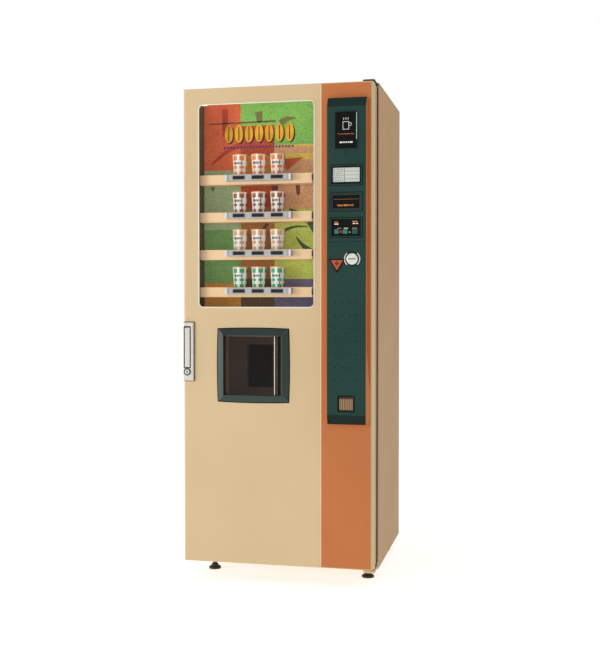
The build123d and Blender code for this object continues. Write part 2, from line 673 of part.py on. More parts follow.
def column_cover():
    """The full-height dark cover, before it is parted at the seam."""
    line = [(COL_FACE + CHIN_DEPTH, COL_BOTTOM), (COL_FACE, COL_BOTTOM + CHIN_HEIGHT),
            (COL_FACE, COL_TOP - FACET_HEIGHT), (COL_FACE + FACET_DEPTH, COL_TOP)]
    back = [(y + COLUMN_WALL, z) for y, z in reversed(line)]
    cover = prism_x(line + back, COL_X0, COL_X1)
    corners = cover.edges().filter_by(Axis.Z).group_by(Axis.Y)[0]
    return chamfer(corners, COLUMN_EDGE)


def module_places():
    """Height and drop of the card holder, the display and the status panel."""
    return [(CARD_HEIGHT, CARD_DROP), (DISPLAY_HEIGHT, DISPLAY_DROP), (STATUS_HEIGHT, STATUS_DROP)]


def module(height, drop):
    y0 = COL_FACE + MODULE_SETBACK
    return centred(COL_X, COL_TOP - drop, MODULE_WIDTH, height, y0, y0 + MODULE_DEPTH)


def column_upper():
    cover = column_cover()
    z_cut = SEAM_Z + SEAM_GAP / 2
    cover -= block(COL_X0 - THROUGH, COL_X1 + THROUGH, COL_FACE - THROUGH, FRONT,
                   COL_BOTTOM - THROUGH, z_cut)
    for height, drop in module_places():
        z = COL_TOP - drop
        cover -= centred(COL_X, z, MODULE_WIDTH, height, COL_FACE - THROUGH, FRONT)
        wide = MODULE_WIDTH + 2 * BEZEL_MARGIN
        tall = height + 2 * BEZEL_MARGIN
        cover -= ring(COL_X - wide / 2, COL_X + wide / 2, COL_FACE - THROUGH,
                      COL_FACE + BEZEL_GROOVE, z - tall / 2, z + tall / 2, BEZEL_GROOVE)
    return cover


def pocket(grow, y0, y1):
    """The coin return pocket, or its shell when grown by the wall."""
    return centred(COL_X, POCKET_Z, POCKET_WIDTH + 2 * grow, POCKET_HEIGHT + 2 * grow, y0, y1)


def triangle(grow, y0, y1):
    """The coin return button's outline: a triangle that points down."""
    half = RETURN_SIDE / 2 + 2 * grow
    top = RETURN_Z + RETURN_HEIGHT / 2 + grow
    tip = RETURN_Z - RETURN_HEIGHT / 2 - 2 * grow
    return prism_y([(RETURN_X - half, top), (RETURN_X + half, top), (RETURN_X, tip)], y0, y1)


def column_lower():
    cover = column_cover()
    z_cut = SEAM_Z - SEAM_GAP / 2
    cover -= block(COL_X0 - THROUGH, COL_X1 + THROUGH, COL_FACE - THROUGH, FRONT,
                   z_cut, COL_TOP + THROUGH)
    pocket_back = COL_FACE + POCKET_DEPTH
    cover += pocket(POCKET_WALL, COL_BACK, pocket_back)
    cover -= pocket(0, COL_FACE - THROUGH, pocket_back - POCKET_WALL)
    cover -= centred(COL_X, POCKET_Z + POCKET_HEIGHT / 2, POCKET_WIDTH / 2, 4 * POCKET_WALL,
                     COL_BACK + THROUGH, pocket_back - 2 * POCKET_WALL)
    cover -= rod_x(TRUNNION_RADIUS + RUNNING_FIT, FLAP_Y + FLAP / 2, FLAP_PIVOT_Z,
                   COL_X - POCKET_WIDTH / 2 - 2 * TRUNNION_GRIP,
                   COL_X + POCKET_WIDTH / 2 + 2 * TRUNNION_GRIP)
    cover -= rod_y(COIN_NECK_RADIUS, COIN_X, COIN_Z, COL_FACE - THROUGH, FRONT)
    cover -= triangle(CLEARANCE, COL_FACE - THROUGH, COL_BACK + THROUGH)
    first_x = COL_X - DOT_PITCH_X * (DOT_COLUMNS - 1) / 2
    for column in range(DOT_COLUMNS):
        for row in range(DOT_ROWS):
            x = first_x + column * DOT_PITCH_X
            z = COL_TOP - DOT_DROP - row * DOT_PITCH_Z
            cover -= rod_y(DOT_RADIUS, x, z, COL_FACE - THROUGH, COL_FACE + DOT_DEPTH)
    return cover


def sign_plate():
    plate = centred(COL_X, COL_TOP - SIGN_DROP, SIGN_WIDTH, SIGN_HEIGHT,
                    COL_FACE - SIGN_THICKNESS, COL_FACE)
    return chamfer(front_edges(plate), SIGN_CHAMFER)


def price_card():
    return module(CARD_HEIGHT, CARD_DROP)


def display_module():
    return module(DISPLAY_HEIGHT, DISPLAY_DROP)


def status_panel():
    return module(STATUS_HEIGHT, STATUS_DROP)


# ---- Coin parts ----
def coin_inlet():
    disc = rod_y(COIN_INLET_RADIUS, COIN_X, COIN_Z, COL_FACE - COIN_INLET_PROUD, COL_FACE)
    disc = fillet(disc.edges().group_by(Axis.Y)[0], COIN_INLET_PROUD / 2)
    neck = rod_y(COIN_NECK_RADIUS, COIN_X, COIN_Z, COL_FACE, COL_FACE + COIN_NECK)
    slot = centred(COIN_X, COIN_Z, COIN_SLOT_LENGTH, COIN_SLOT_WIDTH,
                   COL_FACE - COIN_INLET_PROUD - THROUGH, COL_FACE + COIN_NECK + THROUGH)
    return disc + neck - slot


def coin_mechanism():
    y0 = COL_FACE + COIN_NECK
    z1 = COIN_Z + COIN_NECK_RADIUS + CLEARANCE
    body = block(COL_X - MECH_WIDTH / 2, COL_X + MECH_WIDTH / 2, y0, y0 + MECH_DEPTH,
                 z1 - MECH_HEIGHT, z1)
    channel = centred(COIN_X, COIN_Z, COIN_SLOT_LENGTH, COIN_SLOT_WIDTH, y0 - THROUGH,
                      y0 + MECH_DEPTH / 2)
    return body - channel


def coin_return_button():
    stem_back = COL_BACK + CLEARANCE
    face = triangle(0, COL_FACE - RETURN_PROUD - RETURN_TRAVEL, stem_back)
    return face + triangle(RETURN_LIP, stem_back, stem_back + SHEET)


def coin_return_flap():
    half = POCKET_WIDTH / 2
    z0 = POCKET_Z - POCKET_HEIGHT / 2 + FLAP_GAP
    leaf = block(COL_X - half + FLAP_GAP, COL_X + half - FLAP_GAP, FLAP_Y, FLAP_Y + FLAP,
                 z0, FLAP_PIVOT_Z + TRUNNION_RADIUS)
    return leaf + rod_x(TRUNNION_RADIUS, FLAP_Y + FLAP / 2, FLAP_PIVOT_Z,
                        COL_X - half - TRUNNION_GRIP, COL_X + half + TRUNNION_GRIP)


def cash_box():
    y0 = FRONT + DOOR_RETURN / 2
    half = CASH_WIDTH / 2
    z1 = CASH_Z0 + CASH_HEIGHT
    outer = block(COL_X - half, COL_X + half, y0, DOOR_BACK, CASH_Z0, z1)
    inner = block(COL_X - half + CASH_WALL, COL_X + half - CASH_WALL, y0 + CASH_WALL,
                  DOOR_BACK - CASH_WALL, CASH_Z0 + CASH_WALL, z1 + THROUGH)
    return outer - inner


# ---- Display window ----
def row_z(row):
    """Underside of a shelf bar, counted from the top."""
    return WIN_Z0 + BAR_BOTTOM + (ROWS - 1 - row) * BAR_PITCH


def strip_z(row):
    return row_z(row) + BAR_HEIGHT / 2 + STRIP_RISE


def button_x(column):
    return STRIP_X + (column - (COLUMNS - 1) / 2) * BUTTON_PITCH


def strip_block(row, y0, y1):
    return centred(STRIP_X, strip_z(row), STRIP_LENGTH, STRIP_HEIGHT, y0, y1)


def window_pane():
    pane = block(WIN_X0 - PANE_LAP, WIN_X1 + PANE_LAP, PANE_Y, PANE_Y + PANE,
                 WIN_Z0 - PANE_LAP, WIN_Z1 + PANE_LAP)
    for row in range(ROWS):
        pane -= strip_block(row, PANE_Y - THROUGH, PANE_Y + PANE + THROUGH)
    return pane


def art_board():
    """The white case behind the window, with the picture board as its back."""
    x0 = WIN_X0 - CASE_MARGIN
    x1 = WIN_X1 + CASE_MARGIN
    z0 = WIN_Z0 - CASE_MARGIN
    z1 = WIN_Z1 + LAMP_HEADROOM
    outer = block(x0, x1, PANE_Y, ART_Y, z0, z1)
    inner = block(x0 + CASE_WALL, x1 - CASE_WALL, PANE_Y - THROUGH, ART_FACE,
                  z0 + CASE_WALL, z1 - CASE_WALL)
    return outer - inner


def lamp_tube():
    x = (WIN_X0 + WIN_X1) / 2
    y = FRONT + LAMP_SETBACK
    ceiling = WIN_Z1 + LAMP_HEADROOM - CASE_WALL
    z = ceiling - LAMP_RADIUS - STAND_OFF
    half = LAMP_LENGTH / 2
    tube = rod_x(LAMP_RADIUS, y, z, x - half, x + half)
    for side in (-1, 1):
        end = x + side * half
        x0, x1 = sorted((end, end + side * LAMP_HOLDER))
        tube += block(x0, x1, y - LAMP_RADIUS, y + LAMP_RADIUS, z - LAMP_RADIUS, ceiling)
    return tube


def shelf_bars():
    bars = []
    x0 = WIN_X0 - BAR_LAP
    x1 = x0 + BAR_LENGTH
    for row in range(ROWS):
        z0 = row_z(row)
        z1 = z0 + BAR_HEIGHT
        bar = block(x0, x1, BAR_Y, ART_FACE, z0, z1)
        hollow = block(x0 - THROUGH, x1 + THROUGH, BAR_Y + BAR_WALL, ART_FACE - BAR_WALL,
                       z0 + BAR_WALL, z1 - BAR_WALL)
        bars.append(bar - hollow)
    return Compound(bars)


def button_strips():
    strips = []
    for row in range(ROWS):
        face = FRONT - STRIP_PROUD
        strip = strip_block(row, face, BAR_Y)
        for column in range(COLUMNS):
            strip -= centred(button_x(column), strip_z(row), BUTTON_WIDTH + 2 * CLEARANCE,
                             BUTTON_HEIGHT + 2 * CLEARANCE, face - THROUGH,
                             face + BUTTON_DEPTH + BUTTON_TRAVEL + CLEARANCE)
        strips.append(strip)
    return Compound(strips)


def selection_button(row, column):
    y0 = FRONT - STRIP_PROUD - BUTTON_PROUD
    button = centred(button_x(column), strip_z(row), BUTTON_WIDTH, BUTTON_HEIGHT,
                     y0, y0 + BUTTON_PROUD + BUTTON_DEPTH)
    return fillet(front_edges(button), BUTTON_EDGE)


def sample_cups():
    cups = []
    for row in range(ROWS):
        for column in range(COLUMNS):
            z0 = row_z(row) + BAR_HEIGHT
            place = Pos(button_x(column) + CUP_SHIFT, FRONT + CUP_SETBACK, z0 + CUP_HEIGHT / 2)
            cups.append(place * Cone(CUP_BOTTOM_RADIUS, CUP_TOP_RADIUS, CUP_HEIGHT))
    return Compound(cups)


# ---- Cup station ----
def bowed_square(half, bow, y):
    """A square outline whose sides bow outwards."""
    near = half - bow
    corners = [(STATION_X + sx * near, STATION_Z + sz * near)
               for sx, sz in ((-1, -1), (1, -1), (1, 1), (-1, 1))]
    middles = [(STATION_X, STATION_Z - half), (STATION_X + half, STATION_Z),
               (STATION_X, STATION_Z + half), (STATION_X - half, STATION_Z)]
    sides = [ThreePointArc(corners[i], middles[i], corners[(i + 1) % 4]) for i in range(4)]
    return facing(y) * make_face(Curve() + sides)


def cup_station_frame():
    step = FRONT - STATION_EDGE
    half = STATION_SIZE / 2
    lip = STATION_HALF + SHEET
    base = extrude(bowed_square(half, STATION_BOW, FRONT), STATION_EDGE)
    bevel = loft([bowed_square(half, STATION_BOW, step),
                  bowed_square(lip, LIP_BOW, FRONT - STATION_PROUD)], ruled=True)
    collar = centred(STATION_X, STATION_Z, 2 * COLLAR_HALF, 2 * COLLAR_HALF,
                     FRONT, FRONT + COLLAR_DEPTH)
    frame = base + bevel + collar
    frame -= centred(STATION_X, STATION_Z, STATION_OPENING, STATION_OPENING,
                     FRONT - STATION_PROUD - THROUGH, FRONT + COLLAR_DEPTH + THROUGH)
    return frame - leaf_pin(RUNNING_FIT, LEAF_PIN + CLEARANCE)


def leaf_pin(grow, length):
    return rod_z(LEAF_PIN_RADIUS + grow, LEAF_PIN_X, LEAF_PIN_Y,
                 STATION_Z - STATION_HALF - length, STATION_Z + STATION_HALF + length)


def cup_port_z():
    return STATION_Z - STATION_HALF + CUP_PORT_RISE + CUP_PORT_HEIGHT / 2


def cup_station_box():
    y0 = FRONT + COLLAR_DEPTH
    y1 = FRONT + BOX_DEPTH
    outer = centred(STATION_X, STATION_Z, 2 * COLLAR_HALF, 2 * COLLAR_HALF, y0, y1)
    clear = 2 * (COLLAR_HALF - BOX_WALL)
    inner = centred(STATION_X, STATION_Z, clear, clear, y0 - THROUGH, y1 - BOX_WALL)
    port = centred(STATION_X, cup_port_z(), CUP_PORT_WIDTH, CUP_PORT_HEIGHT,
                   y0, y1 + THROUGH)
    return outer - inner - port


def cup_station_door():
    leaf = block(LEAF_X0, LEAF_X1, LEAF_Y, LEAF_Y + LEAF, STATION_Z - LEAF_HALF, STATION_Z + LEAF_HALF)
    grip = block(LEAF_X1 - GRIP_WIDTH, LEAF_X1, LEAF_Y - GRIP_DEPTH, LEAF_Y,
                 STATION_Z - LEAF_HALF, STATION_Z + LEAF_HALF)
    return leaf + grip + leaf_pin(0, LEAF_PIN)


# ---- Handle and lock ----
def trunnion(grow, reach):
    half = LEVER_WIDTH / 2 + reach
    return rod_x(TRUNNION_RADIUS + grow, LEVER_Y + LEVER_THICKNESS / 2 + CLEARANCE,
                 LEVER_PIVOT_Z, LEVER_X - half, LEVER_X + half)


def handle_plate():
    x0 = X_LEFT
    plate = block(x0, x0 + HANDLE_WIDTH, FRONT - HANDLE_THICKNESS, FRONT, HANDLE_Z0, HANDLE_Z1)
    plate = fillet(plate.edges().group_by(Axis.Y)[0], HANDLE_EDGE)
    lever_z = LEVER_Z1 - LEVER_LENGTH / 2
    plate -= centred(LEVER_X, lever_z, LEVER_WIDTH + 2 * LEVER_GAP, LEVER_LENGTH + 2 * LEVER_GAP,
                     FRONT - HANDLE_THICKNESS - THROUGH, FRONT + THROUGH)
    plate -= rod_y(LOCK_RADIUS - LOCK_PROUD + RUNNING_FIT, LEVER_X, LOCK_Z,
                   FRONT - HANDLE_THICKNESS - THROUGH, FRONT + THROUGH)
    return plate - trunnion(RUNNING_FIT, LEVER_GAP + 2 * TRUNNION_GRIP)


def handle_lever():
    y0 = LEVER_Y + CLEARANCE
    half = LEVER_WIDTH / 2
    bar = block(LEVER_X - half, LEVER_X + half, y0, y0 + LEVER_THICKNESS,
                LEVER_Z1 - LEVER_LENGTH, LEVER_PIVOT_Z)
    knuckle = rod_x(LEVER_THICKNESS / 2, y0 + LEVER_THICKNESS / 2, LEVER_PIVOT_Z,
                    LEVER_X - half, LEVER_X + half)
    return bar + knuckle + trunnion(0, LEVER_GAP + TRUNNION_GRIP)


def lock_cylinder():
    """Key cylinder at the front, its rod through the door, and the cam behind the cabinet edge."""
    face = FRONT - HANDLE_THICKNESS
    rear = CABINET_FRONT + SHEET + CAM_GAP
    head = rod_y(LOCK_RADIUS, LEVER_X, LOCK_Z, face - LOCK_PROUD, face - CLEARANCE)
    middle = FRONT + DOOR_RETURN / 2
    barrel = rod_y(LOCK_RADIUS - LOCK_PROUD, LEVER_X, LOCK_Z, face - CLEARANCE, middle)
    rod = rod_y(ROD_RADIUS, LEVER_X, LOCK_Z, middle, rear + CAM)
    cam = block(LEVER_X - CAM_WIDTH / 2, LEVER_X + CAM_LENGTH, rear, rear + CAM,
                LOCK_Z - CAM_WIDTH / 2, LOCK_Z + CAM_WIDTH / 2)
    keyway = centred(LEVER_X, LOCK_Z, KEYWAY_WIDTH, LOCK_RADIUS - LOCK_PROUD,
                     face - LOCK_PROUD - THROUGH, face - LOCK_PROUD + KEYWAY_DEPTH)
    return head + barrel + rod + cam - keyway


# ---- Equipment ----
def equipment_shelves():
    shelves = []
    for top in (SHELF_TOP, LOWER_SHELF_TOP):
        sheet = block(INNER_LEFT, INNER_RIGHT, EQUIP_FRONT, BACK - SHEET, top - SHEET, top)
        lip = block(INNER_LEFT, INNER_RIGHT, EQUIP_FRONT, EQUIP_FRONT + SHEET,
                    top - SHELF_LIP, top - SHEET)
        shelves.append(sheet + lip)
    shelves[0] -= rod_z(TUBE_RADIUS - TUBE_WALL, DROP_X, DROP_Y, SHELF_TOP - SHELF_LIP,
                        SHELF_TOP + THROUGH)
    return Compound(shelves)


def canister_x(index):
    return INNER_RIGHT - CANISTER_WIDTH / 2 - (CANISTER_PITCH - CANISTER_WIDTH) - index * CANISTER_PITCH


def canister(index):
    x = canister_x(index)
    half = CANISTER_WIDTH / 2
    y0 = EQUIP_FRONT + SHEET + STAND_OFF
    z1 = SHELF_TOP + CANISTER_HEIGHT
    outer = block(x - half, x + half, y0, y0 + CANISTER_DEPTH, SHELF_TOP, z1)
    outer = fillet(outer.edges().filter_by(Axis.Z), CANISTER_CORNER)
    spout = rod_y(SPOUT_RADIUS, x, SHELF_TOP + 2 * SPOUT_RADIUS, y0 - SPOUT_LENGTH, y0 + THROUGH)
    inner = block(x - half + CANISTER_WALL, x + half - CANISTER_WALL, y0 + CANISTER_WALL,
                  y0 + CANISTER_DEPTH - CANISTER_WALL, SHELF_TOP + CANISTER_WALL, z1 + THROUGH)
    inner = fillet(inner.edges().filter_by(Axis.Z), CANISTER_CORNER - CANISTER_WALL)
    shell = outer + spout - inner
    mouth = rod_z(SPOUT_RADIUS - 2 * CANISTER_WALL, x, y0 - SPOUT_LENGTH / 2,
                  SHELF_TOP, SHELF_TOP + 2 * SPOUT_RADIUS)
    feed = rod_y(SPOUT_RADIUS - CANISTER_WALL, x, SHELF_TOP + 2 * SPOUT_RADIUS,
                 y0 - SPOUT_LENGTH + CANISTER_WALL, y0 + CANISTER_WALL + THROUGH)
    lid = block(x - half, x + half, y0, y0 + CANISTER_DEPTH, z1, z1 + CANISTER_LID)
    return shell - mouth - feed, fillet(lid.edges().filter_by(Axis.Z), CANISTER_CORNER)


def ingredient_canisters():
    solids = []
    for index in range(CANISTER_COUNT):
        solids.extend(canister(index))
    return Compound(solids)


def mixer_units():
    """One whipper bowl under each canister, with its motor hung from the shelf."""
    units = []
    rim = SHELF_TOP - BOWL_DROP
    middle = rim - BOWL_HEIGHT / 2
    for index in range(CANISTER_COUNT):
        x = canister_x(index)
        place = Pos(x, MIXER_Y, middle)
        bowl = place * Cone(BOWL_BOTTOM_RADIUS, BOWL_TOP_RADIUS, BOWL_HEIGHT)
        room = place * Cone(BOWL_BOTTOM_RADIUS - BOWL_WALL, BOWL_TOP_RADIUS - BOWL_WALL, BOWL_HEIGHT)
        motor_front = MIXER_Y + (BOWL_TOP_RADIUS + BOWL_BOTTOM_RADIUS) / 2 - BOWL_WALL
        motor = rod_y(MOTOR_RADIUS, x, middle, motor_front, motor_front + MOTOR_LENGTH)
        hanger = block(x - MOTOR_RADIUS / 2, x + MOTOR_RADIUS / 2,
                       motor_front + MOTOR_LENGTH / 2, motor_front + MOTOR_LENGTH,
                       middle, SHELF_TOP - SHEET)
        units.append(bowl + motor + hanger - room)
    return Compound(units)


def hot_water_tank():
    tank = rod_z(TANK_RADIUS, TANK_X, TANK_Y, LOWER_SHELF_TOP, LOWER_SHELF_TOP + TANK_HEIGHT)
    tank = fillet(tank.edges().group_by(Axis.Z)[-1], TANK_DOME)
    top = LOWER_SHELF_TOP + TANK_HEIGHT
    for step in range(CANISTER_COUNT):
        x = TANK_X + (step - (CANISTER_COUNT - 1) / 2) * TANK_DOME * 2
        tank += rod_z(TANK_DOME / 2, x, TANK_Y, top - THROUGH, top + TANK_DOME)
    return tank


def cup_magazine():
    """Four stacks of cups, the drop plate under them and the chute to the cup station."""
    solids = []
    for x in (MAGAZINE_X - TUBE_PITCH / 2, MAGAZINE_X + TUBE_PITCH / 2):
        for y in (MAGAZINE_Y - TUBE_PITCH / 2, MAGAZINE_Y + TUBE_PITCH / 2):
            tube = rod_z(TUBE_RADIUS, x, y, SHELF_TOP, SHELF_TOP + TUBE_HEIGHT)
            solids.append(tube - rod_z(TUBE_RADIUS - TUBE_WALL, x, y, SHELF_TOP - THROUGH,
                                       SHELF_TOP + TUBE_HEIGHT + THROUGH))
    plate_top = SHELF_TOP - SHEET
    plate = block(MAGAZINE_X - TUBE_PITCH, MAGAZINE_X + TUBE_PITCH, MAGAZINE_Y - TUBE_PITCH,
                  MAGAZINE_Y + TUBE_PITCH, plate_top - DROP_PLATE, plate_top)
    solids.append(plate - rod_z(TUBE_RADIUS - TUBE_WALL, DROP_X, DROP_Y, 0, HEIGHT))
    solids.append(chute(0) - chute(CHUTE_WALL))
    return Compound(solids)


def chute(inset):
    """The sloping tube from the drop plate towards the cup port, or its hollow."""
    side = 2 * (TUBE_RADIUS - inset)
    top = SHELF_TOP - SHEET - DROP_PLATE
    bottom = STATION_Z + CUP_PORT_HEIGHT / 2
    upper = Plane.XY.offset(top) * Pos(DROP_X, DROP_Y) * Rectangle(side, side)
    lower_y = CABINET_FRONT + TUBE_RADIUS + STAND_OFF
    lower = Plane.XY.offset(bottom) * Pos(STATION_X, lower_y) * Rectangle(side, side)
    return loft([lower, upper], ruled=True)


def inlet():
    z = LOWER_SHELF_TOP + CONTROL_HEIGHT / 4
    return rod_y(GLAND_RADIUS, CONTROL_X, z, BACK - SHEET - GLAND_LENGTH, BACK)


def control_unit():
    y1 = BACK - SHEET
    body = block(CONTROL_X - CONTROL_WIDTH / 2, CONTROL_X + CONTROL_WIDTH / 2,
                 y1 - CONTROL_DEPTH, y1, LOWER_SHELF_TOP, LOWER_SHELF_TOP + CONTROL_HEIGHT)
    return body + inlet()


def waste_bucket():
    z0 = FLOOR + CLEARANCE
    half_x = BUCKET_WIDTH / 2
    half_y = BUCKET_DEPTH / 2
    outer = block(BUCKET_X - half_x, BUCKET_X + half_x, BUCKET_Y - half_y, BUCKET_Y + half_y,
                  z0, z0 + BUCKET_HEIGHT)
    outer = fillet(outer.edges().filter_by(Axis.Z), BUCKET_CORNER)
    inner = block(BUCKET_X - half_x + BUCKET_WALL, BUCKET_X + half_x - BUCKET_WALL,
                  BUCKET_Y - half_y + BUCKET_WALL, BUCKET_Y + half_y - BUCKET_WALL,
                  z0 + BUCKET_WALL, z0 + BUCKET_HEIGHT + THROUGH)
    return outer - fillet(inner.edges().filter_by(Axis.Z), BUCKET_CORNER - BUCKET_WALL)


SINGLE_PIECES = (
    left_side_panel, right_side_panel, top_panel, rear_panel, base_frame,
    upper_hinge_bracket, lower_hinge_bracket, hinge_hardware, hinge_blocks,
    door_skin, door_inner_pan, door_seal, accent_panel, column_upper, column_lower,
    sign_plate, price_card, display_module, status_panel,
    coin_inlet, coin_mechanism, coin_return_button, coin_return_flap, cash_box,
    window_pane, art_board, lamp_tube, shelf_bars, button_strips, sample_cups,
    cup_station_frame, cup_station_box, cup_station_door,
    handle_plate, handle_lever, lock_cylinder,
    equipment_shelves, ingredient_canisters, mixer_units, hot_water_tank, cup_magazine,
    control_unit, waste_bucket,
)
FOOT_NAMES = ("front_left_foot", "front_right_foot", "rear_left_foot", "rear_right_foot")


def pieces():
    """Every piece by name."""
    made = {make.__name__: make() for make in SINGLE_PIECES}
    for name, place in zip(FOOT_NAMES, foot_places()):
        made[name] = levelling_foot(*place)
    for row in range(ROWS):
        for column in range(COLUMNS):
            made[f"selection_button_{row * COLUMNS + column + 1}"] = selection_button(row, column)
    return made


def main():
    os.makedirs("parts", exist_ok=True)
    for name, shape in pieces().items():
        export_step(shape, f"parts/{name}.step")


if __name__ == "__main__":
    main()
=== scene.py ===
import math
import random

import bmesh
import bpy
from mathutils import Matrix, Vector
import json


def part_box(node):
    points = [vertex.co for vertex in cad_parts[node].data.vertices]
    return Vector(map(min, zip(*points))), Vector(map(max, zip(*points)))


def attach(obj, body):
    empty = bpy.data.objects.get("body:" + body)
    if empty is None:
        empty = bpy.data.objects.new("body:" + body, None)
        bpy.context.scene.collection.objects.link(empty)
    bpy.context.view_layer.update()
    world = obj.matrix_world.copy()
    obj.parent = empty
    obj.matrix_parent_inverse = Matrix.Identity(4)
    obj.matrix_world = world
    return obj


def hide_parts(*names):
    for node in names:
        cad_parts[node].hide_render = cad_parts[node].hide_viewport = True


# A hot drink vending machine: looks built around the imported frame. Metres, +X right, +Y back, +Z up.

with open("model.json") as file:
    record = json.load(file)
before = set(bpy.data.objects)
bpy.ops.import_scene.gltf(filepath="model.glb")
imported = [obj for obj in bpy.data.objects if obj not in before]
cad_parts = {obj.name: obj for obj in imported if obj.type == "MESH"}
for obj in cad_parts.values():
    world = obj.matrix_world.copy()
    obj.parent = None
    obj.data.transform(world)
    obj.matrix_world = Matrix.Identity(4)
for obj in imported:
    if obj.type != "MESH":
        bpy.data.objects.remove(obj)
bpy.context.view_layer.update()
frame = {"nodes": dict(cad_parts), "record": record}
random.seed(7)
MM = 0.001
LAP = 0.02 * MM  # how far a surface detail stays off the face behind it


# ---- Places read from the frame ----
def span(node):
    """x0, x1, y0, y1, z0, z1 of a CAD node."""
    low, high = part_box(node)
    return low.x, high.x, low.y, high.y, low.z, high.z


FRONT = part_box("door_skin")[0].y
DOOR_X0, DOOR_X1, _, _, DOOR_Z0, DOOR_Z1 = span("door_skin")
COL_X0, COL_X1, COL_FACE, _, _, COL_TOP = span("column_upper")
COL_X = (COL_X0 + COL_X1) / 2
PANE_LAP = 10 * MM
WIN_X0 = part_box("window_pane")[0].x + PANE_LAP
WIN_X1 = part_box("window_pane")[1].x - PANE_LAP
WIN_Z0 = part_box("window_pane")[0].z + PANE_LAP
WIN_Z1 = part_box("window_pane")[1].z - PANE_LAP
ART_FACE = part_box("art_board")[1].y - 3 * MM
ROWS = 4
COLUMNS = 3
CUPS_LOW, CUPS_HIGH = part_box("sample_cups")
BAR_HEIGHT = 36 * MM


# ---- Camera, stage and light ----
LENS = 58.02
CAMERA_RIGHT = 0.8996
CAMERA_AWAY = 3.6291
CAMERA_HEIGHT = 1.0426
CAMERA_YAW = math.radians(12.618)
CAMERA_PITCH = math.radians(-1.2705)
WORLD_STRENGTH = 0.44
FLOOR_HALF = 30.0
FLOOR_GLOW = 0.62
WHITE = (1.0, 1.0, 1.0)
WARM = (1.0, 0.93, 0.82)
# Name, place, target, side, power and colour of each lamp.
LAMPS = (
    ("key", (-6.4, -6.0, 1.9), (0, 0, 1.0), 2.6, 245, WHITE),
    ("top", (0.6, -5.4, 6.2), (0, 0, 1.0), 2.4, 30, WHITE),
    ("rim", (-4.6, -2.0, 1.2), (-0.1, 0, 0.9), 1.6, 30, WHITE),
    ("fill", (4.2, -1.4, 1.9), (0.35, 0, 0.9), 2.6, 16, WARM),
)


def make_camera():
    data = bpy.data.cameras.new("camera")
    data.lens = LENS
    data.sensor_fit = "AUTO"
    data.sensor_width = 36.0
    camera = bpy.data.objects.new("camera", data)
    bpy.context.scene.collection.objects.link(camera)
    camera.location = (CAMERA_RIGHT, FRONT - CAMERA_AWAY, CAMERA_HEIGHT)
    forward = Vector((-math.sin(CAMERA_YAW) * math.cos(CAMERA_PITCH),
                      math.cos(CAMERA_YAW) * math.cos(CAMERA_PITCH), math.sin(CAMERA_PITCH)))
    camera.rotation_euler = forward.to_track_quat("-Z", "Y").to_euler()
    bpy.context.scene.camera = camera


def area_light(name, place, target, size, power, color):
    data = bpy.data.lights.new(name, "AREA")
    data.shape = "SQUARE"
    data.size = size
    data.energy = power
    data.color = color
    lamp = bpy.data.objects.new(name, data)
    bpy.context.scene.collection.objects.link(lamp)
    lamp.location = place
    lamp.rotation_euler = (Vector(target) - Vector(place)).to_track_quat("-Z", "Y").to_euler()


def make_stage():
    world = bpy.data.worlds.new("studio")
    world.use_nodes = True
    nodes = world.node_tree.nodes
    link = world.node_tree.links.new
    nodes["Background"].inputs["Strength"].default_value = WORLD_STRENGTH
    backdrop = nodes.new("ShaderNodeBackground")
    rays = nodes.new("ShaderNodeLightPath")
    pick = nodes.new("ShaderNodeMixShader")
    nodes["Background"].inputs["Color"].default_value = (1, 1, 1, 1)
    backdrop.inputs["Color"].default_value = (1, 1, 1, 1)
    link(rays.outputs["Is Camera Ray"], pick.inputs[0])
    link(nodes["Background"].outputs[0], pick.inputs[1])
    link(backdrop.outputs[0], pick.inputs[2])
    link(pick.outputs[0], nodes["World Output"].inputs["Surface"])
    bpy.context.scene.world = world
    bpy.context.scene.view_settings.view_transform = "Standard"
    mesh = bpy.data.meshes.new("floor")
    half = FLOOR_HALF
    mesh.from_pydata([(-half, -half, 0), (half, -half, 0), (half, half, 0), (-half, half, 0)], [],
                     [(0, 1, 2, 3)])
    floor = bpy.data.objects.new("floor", mesh)
    bpy.context.scene.collection.objects.link(floor)
    floor.data.materials.append(surface("studio_floor", (0.88, 0.88, 0.87), rough=0.9, vary=0.01,
                                        glow=(*WHITE, FLOOR_GLOW)))
    for lamp in LAMPS:
        area_light(*lamp)


# ---- Materials ----
FINISHES = {}


